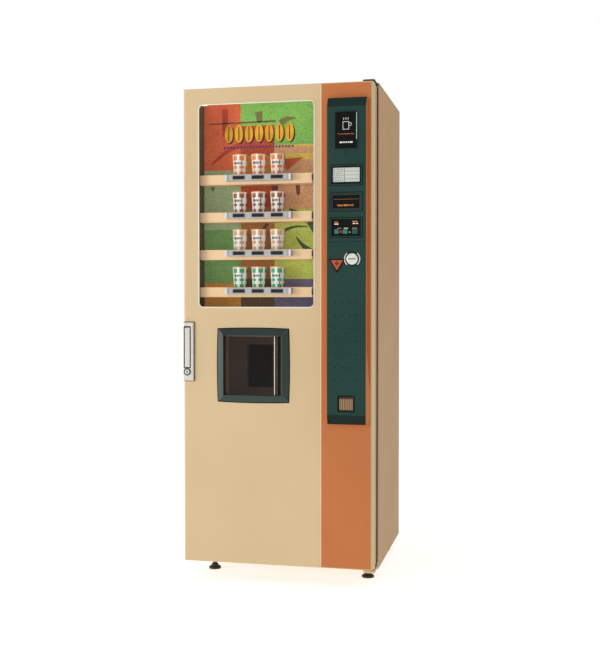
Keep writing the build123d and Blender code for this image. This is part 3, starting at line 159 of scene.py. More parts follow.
def surface(name, color, rough=0.5, metal=0.0, vary=0.05, blotch=3.0, grain=900.0, bump=0.04,
            speckle=None, alpha=1.0, coat=0.0, glow=None, brushed=False, shine=0.5, spread=0.07,
            specks=420.0):
    """A procedural finish: slow colour drift, fine grain in roughness and bump, optional specks."""
    if name in FINISHES:
        return FINISHES[name]
    material = bpy.data.materials.new(name)
    FINISHES[name] = material
    material.use_nodes = True
    nodes = material.node_tree.nodes
    link = material.node_tree.links.new
    shader = nodes["Principled BSDF"]
    place = nodes.new("ShaderNodeTexCoord")
    drift = nodes.new("ShaderNodeTexNoise")
    drift.inputs["Scale"].default_value = blotch
    drift.inputs["Detail"].default_value = 4.0
    link(place.outputs["Object"], drift.inputs["Vector"])
    tint = nodes.new("ShaderNodeValToRGB")
    tint.color_ramp.elements[0].position = 0.3
    tint.color_ramp.elements[1].position = 0.7
    tint.color_ramp.elements[0].color = [c * (1 - vary) for c in color] + [1]
    tint.color_ramp.elements[1].color = [min(1.0, c * (1 + vary)) for c in color] + [1]
    link(drift.outputs["Fac"], tint.inputs["Fac"])
    base = tint.outputs["Color"]
    if speckle:
        dots = nodes.new("ShaderNodeTexNoise")
        dots.inputs["Scale"].default_value = specks
        dots.inputs["Detail"].default_value = 2.0
        link(place.outputs["Object"], dots.inputs["Vector"])
        edge = nodes.new("ShaderNodeValToRGB")
        edge.color_ramp.elements[0].position = 0.36
        edge.color_ramp.elements[1].position = 0.52
        link(dots.outputs["Fac"], edge.inputs["Fac"])
        mix = nodes.new("ShaderNodeMix")
        mix.data_type = "RGBA"
        mix.inputs["A"].default_value = [c * (1 - speckle) for c in color] + [1]
        link(edge.outputs["Color"], mix.inputs["Factor"])
        link(base, mix.inputs["B"])
        base = mix.outputs["Result"]
    link(base, shader.inputs["Base Color"])
    fine = nodes.new("ShaderNodeTexNoise")
    fine.inputs["Scale"].default_value = grain
    fine.inputs["Detail"].default_value = 3.0
    if brushed:
        stretch = nodes.new("ShaderNodeMapping")
        stretch.inputs["Scale"].default_value = (1.0, 1.0, 0.03)
        link(place.outputs["Object"], stretch.inputs["Vector"])
        link(stretch.outputs["Vector"], fine.inputs["Vector"])
    else:
        link(place.outputs["Object"], fine.inputs["Vector"])
    gloss = nodes.new("ShaderNodeMapRange")
    gloss.inputs["To Min"].default_value = max(0.02, rough - spread)
    gloss.inputs["To Max"].default_value = min(1.0, rough + spread)
    link(fine.outputs["Fac"], gloss.inputs["Value"])
    link(gloss.outputs["Result"], shader.inputs["Roughness"])
    relief = nodes.new("ShaderNodeBump")
    relief.inputs["Strength"].default_value = bump
    relief.inputs["Distance"].default_value = 0.0004
    link(fine.outputs["Fac"], relief.inputs["Height"])
    link(relief.outputs["Normal"], shader.inputs["Normal"])
    shader.inputs["Metallic"].default_value = metal
    shader.inputs["Alpha"].default_value = alpha
    shader.inputs["Coat Weight"].default_value = coat
    shader.inputs["Specular IOR Level"].default_value = shine
    if glow:
        shader.inputs["Emission Color"].default_value = list(glow[:3]) + [1]
        shader.inputs["Emission Strength"].default_value = glow[3]
    return material


def rgb(red, green, blue):
    """Linear colour from display values."""
    def one(value):
        value /= 255
        return value / 12.92 if value <= 0.04045 else ((value + 0.055) / 1.055) ** 2.4
    return one(red), one(green), one(blue)


def slot_materials():
    """One finish for each material slot of the record."""
    return {
        "door_paint": surface("door_paint", rgb(207, 182, 142), 0.5, vary=0.03, bump=0.08, shine=0.2),
        # The cabinet's paint is darker than the door's, as painted shade on the cabinet's sides.
        "cabinet_paint": surface("cabinet_paint", rgb(188, 154, 117), 0.6, vary=0.04, bump=0.1,
                                 shine=0.1),
        "accent_paint": surface("accent_paint", rgb(187, 113, 65), 0.5, vary=0.05, bump=0.06,
                                shine=0.15),
        "column_plastic": surface("column_plastic", rgb(38, 65, 59), 0.55, vary=0.14, grain=420,
                                  bump=0.5, speckle=0.35, shine=0.08),
        "black_plastic": surface("black_plastic", rgb(14, 15, 14), 0.25, vary=0.2, shine=0.15),
        "card": surface("card", rgb(196, 198, 190), 0.5, vary=0.05, shine=0.3),
        "button_grey": surface("button_grey", rgb(172, 173, 171), 0.42, vary=0.04, shine=0.3),
        "button_dark": surface("button_dark", rgb(45, 41, 40), 0.35, vary=0.12),
        "bar_plastic": surface("bar_plastic", rgb(246, 208, 162), 0.45, vary=0.03),
        # The display case is coloured dark brown instead of white, as painted shade on its inner walls.
        "case_white": surface("case_white", rgb(96, 88, 66), 0.6, vary=0.1, shine=0.2),
        "clear_pane": surface("clear_pane", (0.1, 0.12, 0.11), 0.05, vary=0.02, bump=0.0, alpha=0.03),
        "smoked_acrylic": surface("smoked_acrylic", rgb(14, 11, 9), 0.2, vary=0.05, bump=0.0,
                                  alpha=0.48, shine=0.25, spread=0.01),
        "paper_cup": surface("paper_cup", rgb(240, 196, 158), 0.55, vary=0.04),
        "lamp_glass": surface("lamp_glass", (0.95, 0.94, 0.9), 0.3, vary=0.01,
                              glow=(1.0, 0.95, 0.86, 1.2)),
        "orange_plastic": surface("orange_plastic", rgb(168, 78, 44), 0.45, vary=0.08, shine=0.25),
        "steel_plate": surface("steel_plate", rgb(206, 204, 196), 0.38, metal=0.55, vary=0.05,
                               bump=0.12, brushed=True),
        "chrome_trim": surface("chrome_trim", rgb(222, 222, 214), 0.28, metal=0.35, vary=0.06),
        "bronze": surface("bronze", rgb(66, 48, 34), 0.42, metal=0.3, vary=0.12),
        "bracket_steel": surface("bracket_steel", rgb(58, 48, 38), 0.45, metal=0.4, vary=0.2),
        "zinc": surface("zinc", rgb(176, 176, 170), 0.4, metal=0.8, vary=0.1, blotch=30),
        "seal_rubber": surface("seal_rubber", rgb(10, 10, 10), 0.85, vary=0.2, bump=0.2, shine=0.1),
        # The chamber's faint glow is painted light inside the cup chamber.
        "chamber_plastic": surface("chamber_plastic", rgb(178, 150, 130), 0.55, vary=0.1,
                                   glow=(0.5, 0.38, 0.3, 0.05)),
        "clear_hopper": surface("clear_hopper", rgb(226, 220, 202), 0.35, vary=0.04),
        "unit_grey": surface("unit_grey", rgb(126, 128, 127), 0.5, vary=0.06, bump=0.15),
        "tank_jacket": surface("tank_jacket", rgb(188, 190, 190), 0.6, vary=0.08, grain=300, bump=0.5),
        "bucket_plastic": surface("bucket_plastic", rgb(74, 92, 118), 0.45, vary=0.07),
    }


SLOTS = slot_materials()
BLACK = SLOTS["black_plastic"]


def dress_nodes():
    for part in frame["record"]["subparts"]:
        node = frame["nodes"][part["node"]]
        material = SLOTS[part["material_slot"]]
        node.data.materials.clear()
        node.data.materials.append(material)


def shade_facets():
    """The column's sloping chin and top facet in darker copies of the column finish, as painted shade,
    and the cup station's frame in a finish of its own.
    """
    # The chin facing down and the top facet get darker copies of the column's colour: painted shade.
    painted_chin_shade = surface("column_chin_painted_shade", rgb(22, 40, 33), 0.5, vary=0.14, speckle=0.35, shine=0.1)
    top = surface("column_cap_painted_shade", rgb(28, 50, 45), 0.5, vary=0.14, speckle=0.35, shine=0.1)
    for name, sign, material in (("column_lower", -1, painted_chin_shade), ("column_upper", 1, top)):
        node = frame["nodes"][name]
        node.data.materials.append(material)
        turn = node.matrix_world.to_3x3()
        for face in node.data.polygons:
            if sign * (turn @ face.normal).z > 0.2:
                face.material_index = 1
    bezel = surface("station_plastic", rgb(24, 48, 42), 0.42, vary=0.16, grain=300, bump=0.8,
                    speckle=0.4, shine=0.5)
    frame["nodes"]["cup_station_frame"].data.materials[0] = bezel


# ---- Mesh helpers ----
def finish_piece(name, mesh_data, material, body, smooth=False):
    mesh = bpy.data.meshes.new(name)
    bmesh.ops.recalc_face_normals(mesh_data, faces=mesh_data.faces)
    mesh_data.to_mesh(mesh)
    mesh_data.free()
    for one in material if isinstance(material, list) else [material]:
        mesh.materials.append(one)
    for face in mesh.polygons:
        face.use_smooth = smooth
    piece = bpy.data.objects.new(name, mesh)
    bpy.context.scene.collection.objects.link(piece)
    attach(piece, body)
    return piece


def add_slab(data, outline, y0, y1, soft=0.0):
    """A plate standing in the X-Z plane; soft is how far its front edge is bevelled."""
    front = [data.verts.new((x, y0, z)) for x, z in outline]
    back = [data.verts.new((x, y1, z)) for x, z in outline]
    count = len(outline)
    face = data.faces.new(front)
    data.faces.new(back[::-1])
    for i in range(count):
        data.faces.new((front[i], back[i], back[(i + 1) % count], front[(i + 1) % count]))
    if soft:
        bmesh.ops.bevel(data, geom=list(face.edges), offset=soft, segments=2, profile=0.6,
                        affect="EDGES")


def add_ring(data, outer, inner, y0, y1):
    """A frame standing in the X-Z plane between two outlines with as many points."""
    count = len(outer)
    rings = [[data.verts.new((x, y, z)) for x, z in outline]
             for outline, y in ((outer, y0), (inner, y0), (inner, y1), (outer, y1))]
    for i in range(count):
        j = (i + 1) % count
        for a, b in ((0, 1), (1, 2), (2, 3), (3, 0)):
            data.faces.new((rings[a][i], rings[a][j], rings[b][j], rings[b][i]))


def add_bar(data, low, high, soft=0.0008):
    """A block with every edge bevelled."""
    made = bmesh.ops.create_cube(data, size=1.0)
    middle = (Vector(low) + Vector(high)) / 2
    size = Vector(high) - Vector(low)
    for vert in made["verts"]:
        vert.co = Vector(a * b for a, b in zip(vert.co, size)) + middle
    edges = list({edge for vert in made["verts"] for edge in vert.link_edges})
    bmesh.ops.bevel(data, geom=edges, offset=soft, segments=2, profile=0.6, affect="EDGES")


def add_tube(data, points, radius, sides=10):
    """A round tube along straight and curved runs, closed at both ends."""
    rings = []
    for i, point in enumerate(points):
        ahead = Vector(points[min(i + 1, len(points) - 1)]) - Vector(points[max(i - 1, 0)])
        turn = ahead.to_track_quat("Z", "Y").to_matrix()
        rings.append([data.verts.new(Vector(point) + turn @ Vector(
            (radius * math.cos(a), radius * math.sin(a), 0)))
            for a in (2 * math.pi * k / sides for k in range(sides))])
    for near, far in zip(rings, rings[1:]):
        for i in range(sides):
            j = (i + 1) % sides
            data.faces.new((near[i], near[j], far[j], far[i]))
    data.faces.new(rings[0][::-1])
    data.faces.new(rings[-1])


def box_outline(x0, x1, z0, z1):
    return [(x0, z0), (x1, z0), (x1, z1), (x0, z1)]


def inset(x0, x1, z0, z1, gap):
    """A box outline drawn in by gap on every side."""
    return box_outline(x0 + gap, x1 - gap, z0 + gap, z1 - gap)


def round_outline(x0, x1, z0, z1, radius, steps=6):
    """A rectangle with rounded corners."""
    corners = ((x1 - radius, z1 - radius, 0), (x0 + radius, z1 - radius, 90),
               (x0 + radius, z0 + radius, 180), (x1 - radius, z0 + radius, 270))
    points = []
    for x, z, start in corners:
        for k in range(steps + 1):
            angle = math.radians(start + 90 * k / steps)
            points.append((x + radius * math.cos(angle), z + radius * math.sin(angle)))
    return points


def disc_outline(x, z, radius, sides=32, squash=1.0):
    return [(x + radius * math.cos(2 * math.pi * k / sides),
             z + squash * radius * math.sin(2 * math.pi * k / sides)) for k in range(sides)]


def slab(name, outlines, y0, y1, material, body="door", soft=0.0002):
    """One piece made of plates that share a front and a back."""
    data = bmesh.new()
    for outline in outlines:
        add_slab(data, outline, y0, y1, soft)
    return finish_piece(name, data, material, body)


def ring(name, outer, inner, y0, y1, material, body="door"):
    data = bmesh.new()
    add_ring(data, outer, inner, y0, y1)
    piece = finish_piece(name, data, material, body)
    edge = piece.modifiers.new("edge", "BEVEL")
    edge.width = min(0.0006, abs(y1 - y0) / 3)
    edge.segments = 2
    return piece


# ---- Door edges ----
def door_edges():
    """A black strip round the door's back edge as painted shade in the gap to the cabinet, and beside
    the accent panel a dark line of painted shade in the seam and a pale line of painted highlight on its
    edge.
    """
    x0, x1, _, y1, z0, z1 = span("door_inner_pan")
    rubber = SLOTS["seal_rubber"]
    # The black strip is painted shade in the gap between door and cabinet.
    ring("door_gap_painted_shade", inset(DOOR_X0, DOOR_X1, DOOR_Z0, DOOR_Z1, 0.3 * MM),
         inset(x0, x1, z0, z1, 0.2 * MM), y1 - 17 * MM, y1 - 0.3 * MM, rubber)
    x0, _, _, _, z0, z1 = span("accent_panel")
    # The dark line is painted shade in the seam; the pale line is a painted highlight on the beige edge
    # beside it.
    joint = surface("joint_shade", rgb(140, 62, 34), 0.6, vary=0.08)
    pale = surface("joint_painted_highlight", rgb(244, 232, 206), 0.5, vary=0.04)
    for name, left, right, material, slot in (
            ("accent_joint", 0.2, 2.6, joint, "accent_paint"),
            ("accent_joint_painted_highlight", -2.4, -0.2, pale, "door_paint")):
        slab(name, [box_outline(x0 + left * MM, x0 + right * MM, z0 + 0.5 * MM, z1 - 0.5 * MM)],
             FRONT - 0.3 * MM, FRONT - LAP, material, soft=0.0)


# ---- Display window ----
def window_gasket():
    """The pale rubber lip round the window."""
    lip = 3.4 * MM
    outer = round_outline(WIN_X0 - lip, WIN_X1 + lip, WIN_Z0 - lip, WIN_Z1 + lip, 22 * MM)
    inner = round_outline(WIN_X0 + MM, WIN_X1 - MM, WIN_Z0 + MM, WIN_Z1 - MM, 15 * MM)
    rubber = surface("gasket_rubber", rgb(224, 218, 202), 0.6, vary=0.04, bump=0.1)
    ring("window_gasket", outer, inner, FRONT - 1.6 * MM, FRONT - 0.05 * MM, rubber)


def win_x(share):
    return WIN_X0 + share * (WIN_X1 - WIN_X0)


def win_z(share):
    """A height counted down from the window's top, as a share of its height."""
    return WIN_Z1 - share * (WIN_Z1 - WIN_Z0)


BOARD = {
    "brick": rgb(202, 98, 62), "sage": rgb(152, 168, 126), "leaf": rgb(112, 150, 88),
    "amber": rgb(194, 132, 58), "bright": rgb(122, 172, 82), "rust": rgb(170, 74, 44),
    "umber": rgb(158, 104, 56), "cocoa": rgb(92, 70, 48), "salmon": rgb(196, 146, 104),
    "straw": rgb(206, 178, 84), "lime": rgb(176, 184, 86), "plum": rgb(104, 94, 116),
}
# Colour fields of the picture board, from top to bottom in three columns.
LEFT_FIELDS = (("brick", 0.31), ("sage", 0.61), ("leaf", 0.88), ("amber", 1.0))
MIDDLE_FIELDS = (("bright", 0.09), ("rust", 0.24), ("amber", 0.34), ("rust", 0.5), ("umber", 0.86),
                 ("cocoa", 1.0))
RIGHT_FIELDS = (("bright", 0.19), ("straw", 0.2), ("salmon", 0.235), ("straw", 0.265),
                ("salmon", 0.51), ("lime", 0.86), ("plum", 1.0))


def board_material(name):
    # The board's glow is painted light that lifts the shade inside the display case.
    return surface("board_" + name, BOARD[name], 0.7, vary=0.12, blotch=14, speckle=0.42, specks=230,
                   shine=0.1, glow=(*BOARD[name], 0.28))


def picture_board():
    """Plain speckled colour fields behind the cups."""
    over = 10 * MM
    columns = ((-0.02, 0.31, LEFT_FIELDS), (0.31, 0.61, MIDDLE_FIELDS), (0.61, 1.02, RIGHT_FIELDS))
    for index, (x0, x1, fields) in enumerate(columns):
        top = WIN_Z1 + 30 * MM
        for place, (color, share) in enumerate(fields):
            bottom = win_z(share) - (over if share == 1.0 else 0)
            slab(f"board_field_{index}_{place}", [box_outline(win_x(x0), win_x(x1), bottom, top)],
                 ART_FACE - 0.6 * MM, ART_FACE - 0.05 * MM, board_material(color),
                 soft=0.0001)
            top = bottom


def band(x0, z0, x1, z1, start, end, bend, steps=14):
    """A curved band that tapers from start to end, in shares of the window."""
    a = Vector((win_x(x0), win_z(z0)))
    b = Vector((win_x(x1), win_z(z1)))
    side = Vector((-(b - a).y, (b - a).x)).normalized()
    near = []
    far = []
    for k in range(steps + 1):
        t = k / steps
        middle = a.lerp(b, t) + side * bend * math.sin(math.pi * t)
        half = (start + (end - start) * t) / 2
        near.append(tuple(middle + side * half))
        far.append(tuple(middle - side * half))
    return near + far[::-1]


def board_shapes():
    """Simple bands and leaves over the colour fields."""
    ink = {"red": rgb(196, 62, 44), "brown": rgb(104, 62, 44), "olive": rgb(122, 116, 52),
           "pine": rgb(58, 82, 44), "ember": rgb(214, 102, 48)}
    shapes = (
        ("red", band(0.17, 0.0, 0.17, 0.14, 0.024, 0.02, 0.0)),
        ("red", band(0.38, 0.17, 0.05, 0.28, 0.022, 0.008, -0.012)),
        ("red", band(0.40, 0.17, 0.60, 0.27, 0.02, 0.005, 0.014)),
        ("brown", band(0.03, 0.075, 0.62, 0.07, 0.004, 0.006, 0.0)),
        ("olive", band(0.47, 0.02, 0.48, 0.075, 0.03, 0.018, 0.0)),
        ("olive", band(0.66, 0.085, 0.8, 0.06, 0.03, 0.004, 0.008)),
        ("ember", band(0.7, 0.29, 0.86, 0.255, 0.045, 0.002, 0.0)),
        ("olive", band(0.05, 0.41, 0.16, 0.34, 0.014, 0.022, 0.01)),
        ("brown", band(0.59, 0.35, 0.6, 0.5, 0.03, 0.012, 0.01)),
        ("brown", band(0.76, 0.35, 0.98, 0.375, 0.006, 0.012, 0.0)),
        ("brown", band(0.81, 0.35, 0.82, 0.44, 0.022, 0.012, 0.0)),
        ("pine", band(0.74, 0.51, 0.97, 0.615, 0.006, 0.03, 0.012)),
        ("pine", band(0.7, 0.615, 0.9, 0.6, 0.012, 0.004, 0.006)),
        ("pine", band(0.8, 0.65, 0.95, 0.73, 0.004, 0.026, -0.006)),
        ("brown", band(0.55, 0.58, 0.41, 0.66, 0.014, 0.008, 0.004)),
    )
    for index, (color, outline) in enumerate(shapes):
        material = surface("ink_" + color, ink[color], 0.6, vary=0.1, blotch=20, speckle=0.35)
        slab(f"board_shape_{index}", [outline], ART_FACE - 0.9 * MM, ART_FACE - 0.55 * MM, material,
             soft=0.0)


def bean(x, z, wide, tall):
    return disc_outline(x, z, wide / 2, 28, tall / wide)


def emblem():
    """A row of upright coffee beans with a drop shadow, and a dashed line under it."""
    count = 7
    x0 = win_x(0.16)
    x1 = win_x(0.79)
    middle = win_z(0.128)
    tall = 66 * MM
    pitch = (x1 - x0) / count
    xs = [x0 + pitch * (k + 0.5) for k in range(count)]
    shadow = surface("emblem_shadow", rgb(28, 22, 26), 0.6, vary=0.1)
    gold = surface("emblem_gold", rgb(246, 170, 40), 0.5, vary=0.25, blotch=30, shine=0.2)
    slab("emblem_shadows", [bean(x + 4 * MM, middle - 4 * MM, pitch * 0.86, tall) for x in xs],
         ART_FACE - 2.0 * MM, ART_FACE - 0.95 * MM, shadow)
    slab("emblem_beans", [bean(x, middle, pitch * 0.82, tall) for x in xs],
         ART_FACE - 3.4 * MM, ART_FACE - 2.0 * MM, gold, soft=0.0005)
    slab("emblem_creases", [box_outline(x - 1.8 * MM, x + 1.8 * MM, middle - tall * 0.4,
                                        middle + tall * 0.4) for x in xs],
         ART_FACE - 3.8 * MM, ART_FACE - 3.3 * MM, shadow)
    purple = surface("emblem_purple", rgb(104, 30, 100), 0.55, vary=0.1)
    dashes = 22
    dash = (x1 - x0) / dashes
    level = win_z(0.197)
    slab("emblem_dashes", [box_outline(x0 + dash * k, x0 + dash * (k + 0.62), level - 4 * MM,
                                       level + 4 * MM) for k in range(dashes)],
         ART_FACE - 1.6 * MM, ART_FACE - 0.95 * MM, purple)


def bar_zs():
    """Underside of each shelf bar, from the top."""
    low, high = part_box("shelf_bars")
    pitch = (high.z - low.z - BAR_HEIGHT) / (ROWS - 1)
    return [high.z - BAR_HEIGHT - row * pitch for row in range(ROWS)]


def shelf_details():
    """A dark box of painted shade at each bar's end, a front bead on each bar, and the strips' end caps
    with dark lines of painted shade in their grooves.
    """
    low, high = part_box("shelf_bars")
    strip_low, strip_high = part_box("button_strips")
    # The dark box at each bar's end is painted shade in the gap beside the case wall; the dark lines on
    # the strip caps are painted shade in their grooves.
    dark = surface("bar_end_shade_box", rgb(74, 50, 36), 0.5, vary=0.1)
    cap = surface("strip_cap", rgb(208, 209, 206), 0.4, vary=0.04)
    groove = surface("strip_line_painted_shade", rgb(118, 119, 118), 0.5, vary=0.05)
    data = bmesh.new()
    beads = bmesh.new()
    for z in bar_zs():
        add_bar(data, (high.x - 3 * MM, low.y - 0.6 * MM, z + 9 * MM),
                (high.x + 1.5 * MM, low.y + 4 * MM, z + 31 * MM), 0.0004)
        add_bar(beads, (low.x + MM, low.y - 0.8 * MM, z + 0.6 * MM),
                (high.x - 4 * MM, low.y + 2 * MM, z + 3.4 * MM), 0.0006)
    finish_piece("bar_end_shade_boxes", data, dark, "door")
    finish_piece("bar_beads", beads, SLOTS["bar_plastic"], "door")
    caps = bmesh.new()
    lines = bmesh.new()
    strip_height = 22.5 * MM
    for z in bar_zs():
        middle = z + BAR_HEIGHT / 2 + 4 * MM
        for end, side in ((strip_low.x, 1), (strip_high.x, -1)):
            x0, x1 = sorted((end, end + side * 9 * MM))
            add_bar(caps, (x0, strip_low.y - 1.2 * MM, middle - strip_height / 2),
                    (x1, strip_low.y + 3 * MM, middle + strip_height / 2), 0.0015)
            for step in (11, 14.5):
                x = end + side * step * MM
                add_bar(lines, (x - 0.5 * MM, strip_low.y - 0.25 * MM, middle - strip_height / 2 + MM),
                        (x + 0.5 * MM, strip_low.y + MM, middle + strip_height / 2 - MM), 0.0001)
    finish_piece("strip_caps", caps, cap, "door")
    finish_piece("strip_line_painted_shades", lines, groove, "door")


def button_faces():
    """A glossy inset on each selection button."""
    gloss = surface("button_inset", rgb(26, 23, 24), 0.18, vary=0.2)
    for number in range(1, ROWS * COLUMNS + 1):
        x0, x1, y0, _, z0, z1 = span(f"selection_button_{number}")
        slab(f"button_face_{number}", [round_outline(x0 + 2.5 * MM, x1 - 2.5 * MM, z0 + 2.2 * MM,
                                                     z1 - 2.2 * MM, 1.5 * MM)],
             y0 - 0.35 * MM, y0 + 0.5 * MM, gloss, body=f"button_{number}")


CUP_SIDES = 72
CHECK_PITCH = 60  # degrees from one upright of the check to the next
# Bands up the cup's wall: P patterned, B banded in white, C the plain cup.
CUP_BANDS = ((0.0, 0.13, "P"), (0.13, 0.3, "B"), (0.3, 0.42, "P"), (0.42, 0.7, "B"), (0.7, 0.88, "P"),
             (0.88, 1.0, "C"))


def cup_band(share):
    for low, high, kind in CUP_BANDS:
        if low <= share < high:
            return kind
    return "C"


def sample_cup(name, x, y, z0, height, top_radius, foot_radius, colors):
    """A hollow paper cup with a rolled rim and a printed check."""
    wall = 0.7 * MM
    roll = 1.3 * MM
    sides = CUP_SIDES
    rows = 40
    outer = [(foot_radius + (top_radius - roll - foot_radius) * k / rows, height * k / rows)
             for k in range(rows + 1)]
    rim = [(top_radius - roll + roll * math.sin(a), height - roll + roll * math.cos(a) * 0.9)
           for a in (math.radians(d) for d in (120, 90, 60, 30, 0, -30, -60, -90))]
    inner = [(outer[k][0] - wall, outer[k][1]) for k in (rows - 1, rows // 2, 3)]
    outline = [(0.0, 2 * MM), (foot_radius - 3 * wall, 2 * MM), (foot_radius - 2 * wall, 0.0)]
    outline += outer[:-1] + rim + inner + [(0.0, outer[3][1])]
    data = bmesh.new()
    rings = [[data.verts.new((x + r * math.cos(2 * math.pi * k / sides),
                              y + r * math.sin(2 * math.pi * k / sides), z0 + z))
              for k in range(sides)] if r > 0 else [data.verts.new((x, y, z0 + z))]
             for r, z in outline]
    for level, (a, b) in enumerate(zip(rings, rings[1:])):
        for k in range(sides):
            j = (k + 1) % sides
            if len(a) == 1:
                face = data.faces.new((a[0], b[j], b[k]))
            elif len(b) == 1:
                face = data.faces.new((a[k], a[j], b[0]))
            else:
                face = data.faces.new((a[k], a[j], b[j], b[k]))
            printed = 2 < level < rows + 2
            face.material_index = print_index(k, (level - 3) / rows) if printed else 2
    return finish_piece(name, data, colors, "door", smooth=True)


def print_index(step, share):
    """0 is the check's colour, 1 is white paper and 2 is the pale cup."""
    degrees = (step + 0.5) * 360 / CUP_SIDES % CHECK_PITCH
    upright = 20 < degrees < 40
    kind = cup_band(share)
    if upright or kind == "B":
        return 1 if upright or abs(degrees - CHECK_PITCH / 2) < 24 else 0
    return 0 if kind == "P" else 2


def sample_cups():
    """Twelve cups in four check colours, each with a plain dashed mark on its middle band."""
    tints = (rgb(226, 122, 48), rgb(140, 84, 48), rgb(198, 158, 112), rgb(38, 160, 112))
    paper = surface("cup_white", rgb(244, 240, 232), 0.55, vary=0.02)
    pale = surface("cup_pale", rgb(234, 184, 140), 0.55, vary=0.04)
    mark = surface("cup_mark", rgb(62, 54, 50), 0.6, vary=0.1)
    radius = 28.5 * MM
    foot = 22.5 * MM
    height = 75 * MM
    y = (CUPS_LOW.y + CUPS_HIGH.y) / 2
    pitch = (CUPS_HIGH.x - CUPS_LOW.x - 2 * radius) / (COLUMNS - 1)
    for row, bar in enumerate(bar_zs()):
        check = surface(f"cup_check_{row}", tints[row], 0.55, vary=0.06)
        z0 = bar + BAR_HEIGHT + 0.1 * MM
        for column in range(COLUMNS):
            x = CUPS_LOW.x + radius + column * pitch
            sample_cup(f"cup_{row}_{column}", x, y, z0, height, radius, foot,
                                   [check, paper, pale])
            cup_marks(f"cup_marks_{row}_{column}", x, y, z0 + 0.56 * height,
                      foot + (radius - foot) * 0.56, mark)
    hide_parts("sample_cups")


def cup_marks(name, x, y, z, radius, material):
    """Short upright dashes wrapped round the front of a cup."""
    data = bmesh.new()
    half = math.radians(3.4)
    for degrees in (-34, -22, -9, 4, 16, 30):
        middle = math.radians(degrees - 90)
        tall = (4.2 if degrees % 4 else 3.2) * MM
        corners = []
        for lift in (0.15 * MM, 0.5 * MM):
            for angle, up in ((-half, -tall), (half, -tall), (half, tall), (-half, tall)):
                reach = radius + lift + up * 0.08
                corners.append(data.verts.new((x + reach * math.cos(middle + angle),
                                               y + reach * math.sin(middle + angle), z + up)))
        near, far = corners[:4], corners[4:]
        data.faces.new(near[::-1])
        data.faces.new(far)
        for i in range(4):
            j = (i + 1) % 4
            data.faces.new((near[i], near[j], far[j], far[i]))
    finish_piece(name, data, material, "door")


# ---- Column ----
def module_ring(node, wide, material):
    """A raised rim on the column round one of the modules."""
    x0, x1, _, _, z0, z1 = span(node)
    inner = round_outline(x0 + 0.2 * MM, x1 - 0.2 * MM, z0 + 0.2 * MM, z1 - 0.2 * MM, 2 * MM)
    outer = round_outline(x0 - wide, x1 + wide, z0 - wide, z1 + wide, 3.5 * MM)
    ring(node + "_rim", outer, inner, COL_FACE - 1.6 * MM, COL_FACE + 0.4 * MM, material)
    far = wide + 2.2 * MM
    ring(node + "_joint", round_outline(x0 - far, x1 + far, z0 - far, z1 + far, 5 * MM), outer,
         COL_FACE - 0.5 * MM, COL_FACE - LAP, BLACK)


def sign_details():
    """A cup with steam, a wavy line and a row of small blocks on the black plate."""
    x0, x1, y0, _, z0, z1 = span("sign_plate")
    x = (x0 + x1) / 2
    white = surface("print_white", rgb(226, 226, 220), 0.5, vary=0.04)
    orange = surface("print_orange", rgb(214, 112, 40), 0.5, vary=0.08)
    steel = surface("sign_rim_painted_highlight", rgb(176, 186, 180), 0.3, metal=0.5, vary=0.08, brushed=True)
    face = y0 - 0.5 * MM
    cup_z = z0 + 0.62 * (z1 - z0)
    half = 11 * MM
    tall = 14 * MM
    line = 1.6 * MM
    outer = [(x - half, cup_z + tall), (x - half, cup_z - tall), (x + half, cup_z - tall),
             (x + half, cup_z + tall)]
    inner = [(x - half + line, cup_z + tall - line), (x - half + line, cup_z - tall + line),
             (x + half - line, cup_z - tall + line), (x + half - line, cup_z + tall - line)]
    ring("sign_cup", outer, inner, face, y0 - LAP, white)
    ear = disc_outline(x + half + 3.5 * MM, cup_z + 4 * MM, 6 * MM, 20)
    ear_hole = disc_outline(x + half + 3.5 * MM, cup_z + 4 * MM, 4.5 * MM, 20)
    ring("sign_cup_ear", ear, ear_hole, face, y0 - LAP, white)
    slab("sign_steam", [box_outline(x + step - 0.9 * MM, x + step + 0.9 * MM, cup_z + tall + 6 * MM,
                                    cup_z + tall + 14 * MM) for step in (-8 * MM, 0, 8 * MM)],
         face, y0 - LAP, white, soft=0.0)
    wave = []
    steps = 36
    reach = 29 * MM
    for k in range(steps + 1):
        wave.append((x - reach + 2 * reach * k / steps, face + 0.5 * MM,
                     cup_z - tall - 15 * MM + 1.6 * MM * math.sin(k * 0.9)))
    data = bmesh.new()
    add_tube(data, wave, 0.8 * MM, 6)
    finish_piece("sign_wave", data, orange, "door")
    z = z0 + 20 * MM
    blocks = [(-22, -12), (-9, -4), (-1, 4), (7, 12), (14, 24)]
    slab("sign_blocks", [box_outline(x + a * MM, x + b * MM, z - 2.6 * MM, z + 2.6 * MM)
                         for a, b in blocks], face, y0 - LAP, white, soft=0.0)
    # A pale steel strip down the plate's right edge, as a painted highlight on its chamfer.
    data = bmesh.new()
    add_bar(data, (x1 - 2.2 * MM, y0 + 0.6 * MM, z0 + 30 * MM),
            (x1 + 0.4 * MM, y0 + 5 * MM, z1 - 2 * MM), 0.0009)
    finish_piece("sign_rim_painted_highlight_strip", data, steel, "door")
    slab("sign_dots", [disc_outline(x - 2 * MM, z0 - drop, 2.2 * MM, 16)
                       for drop in (9 * MM, 19 * MM, 28 * MM)],
         COL_FACE - 0.4 * MM, COL_FACE + 0.2 * MM, BLACK, soft=0.0)


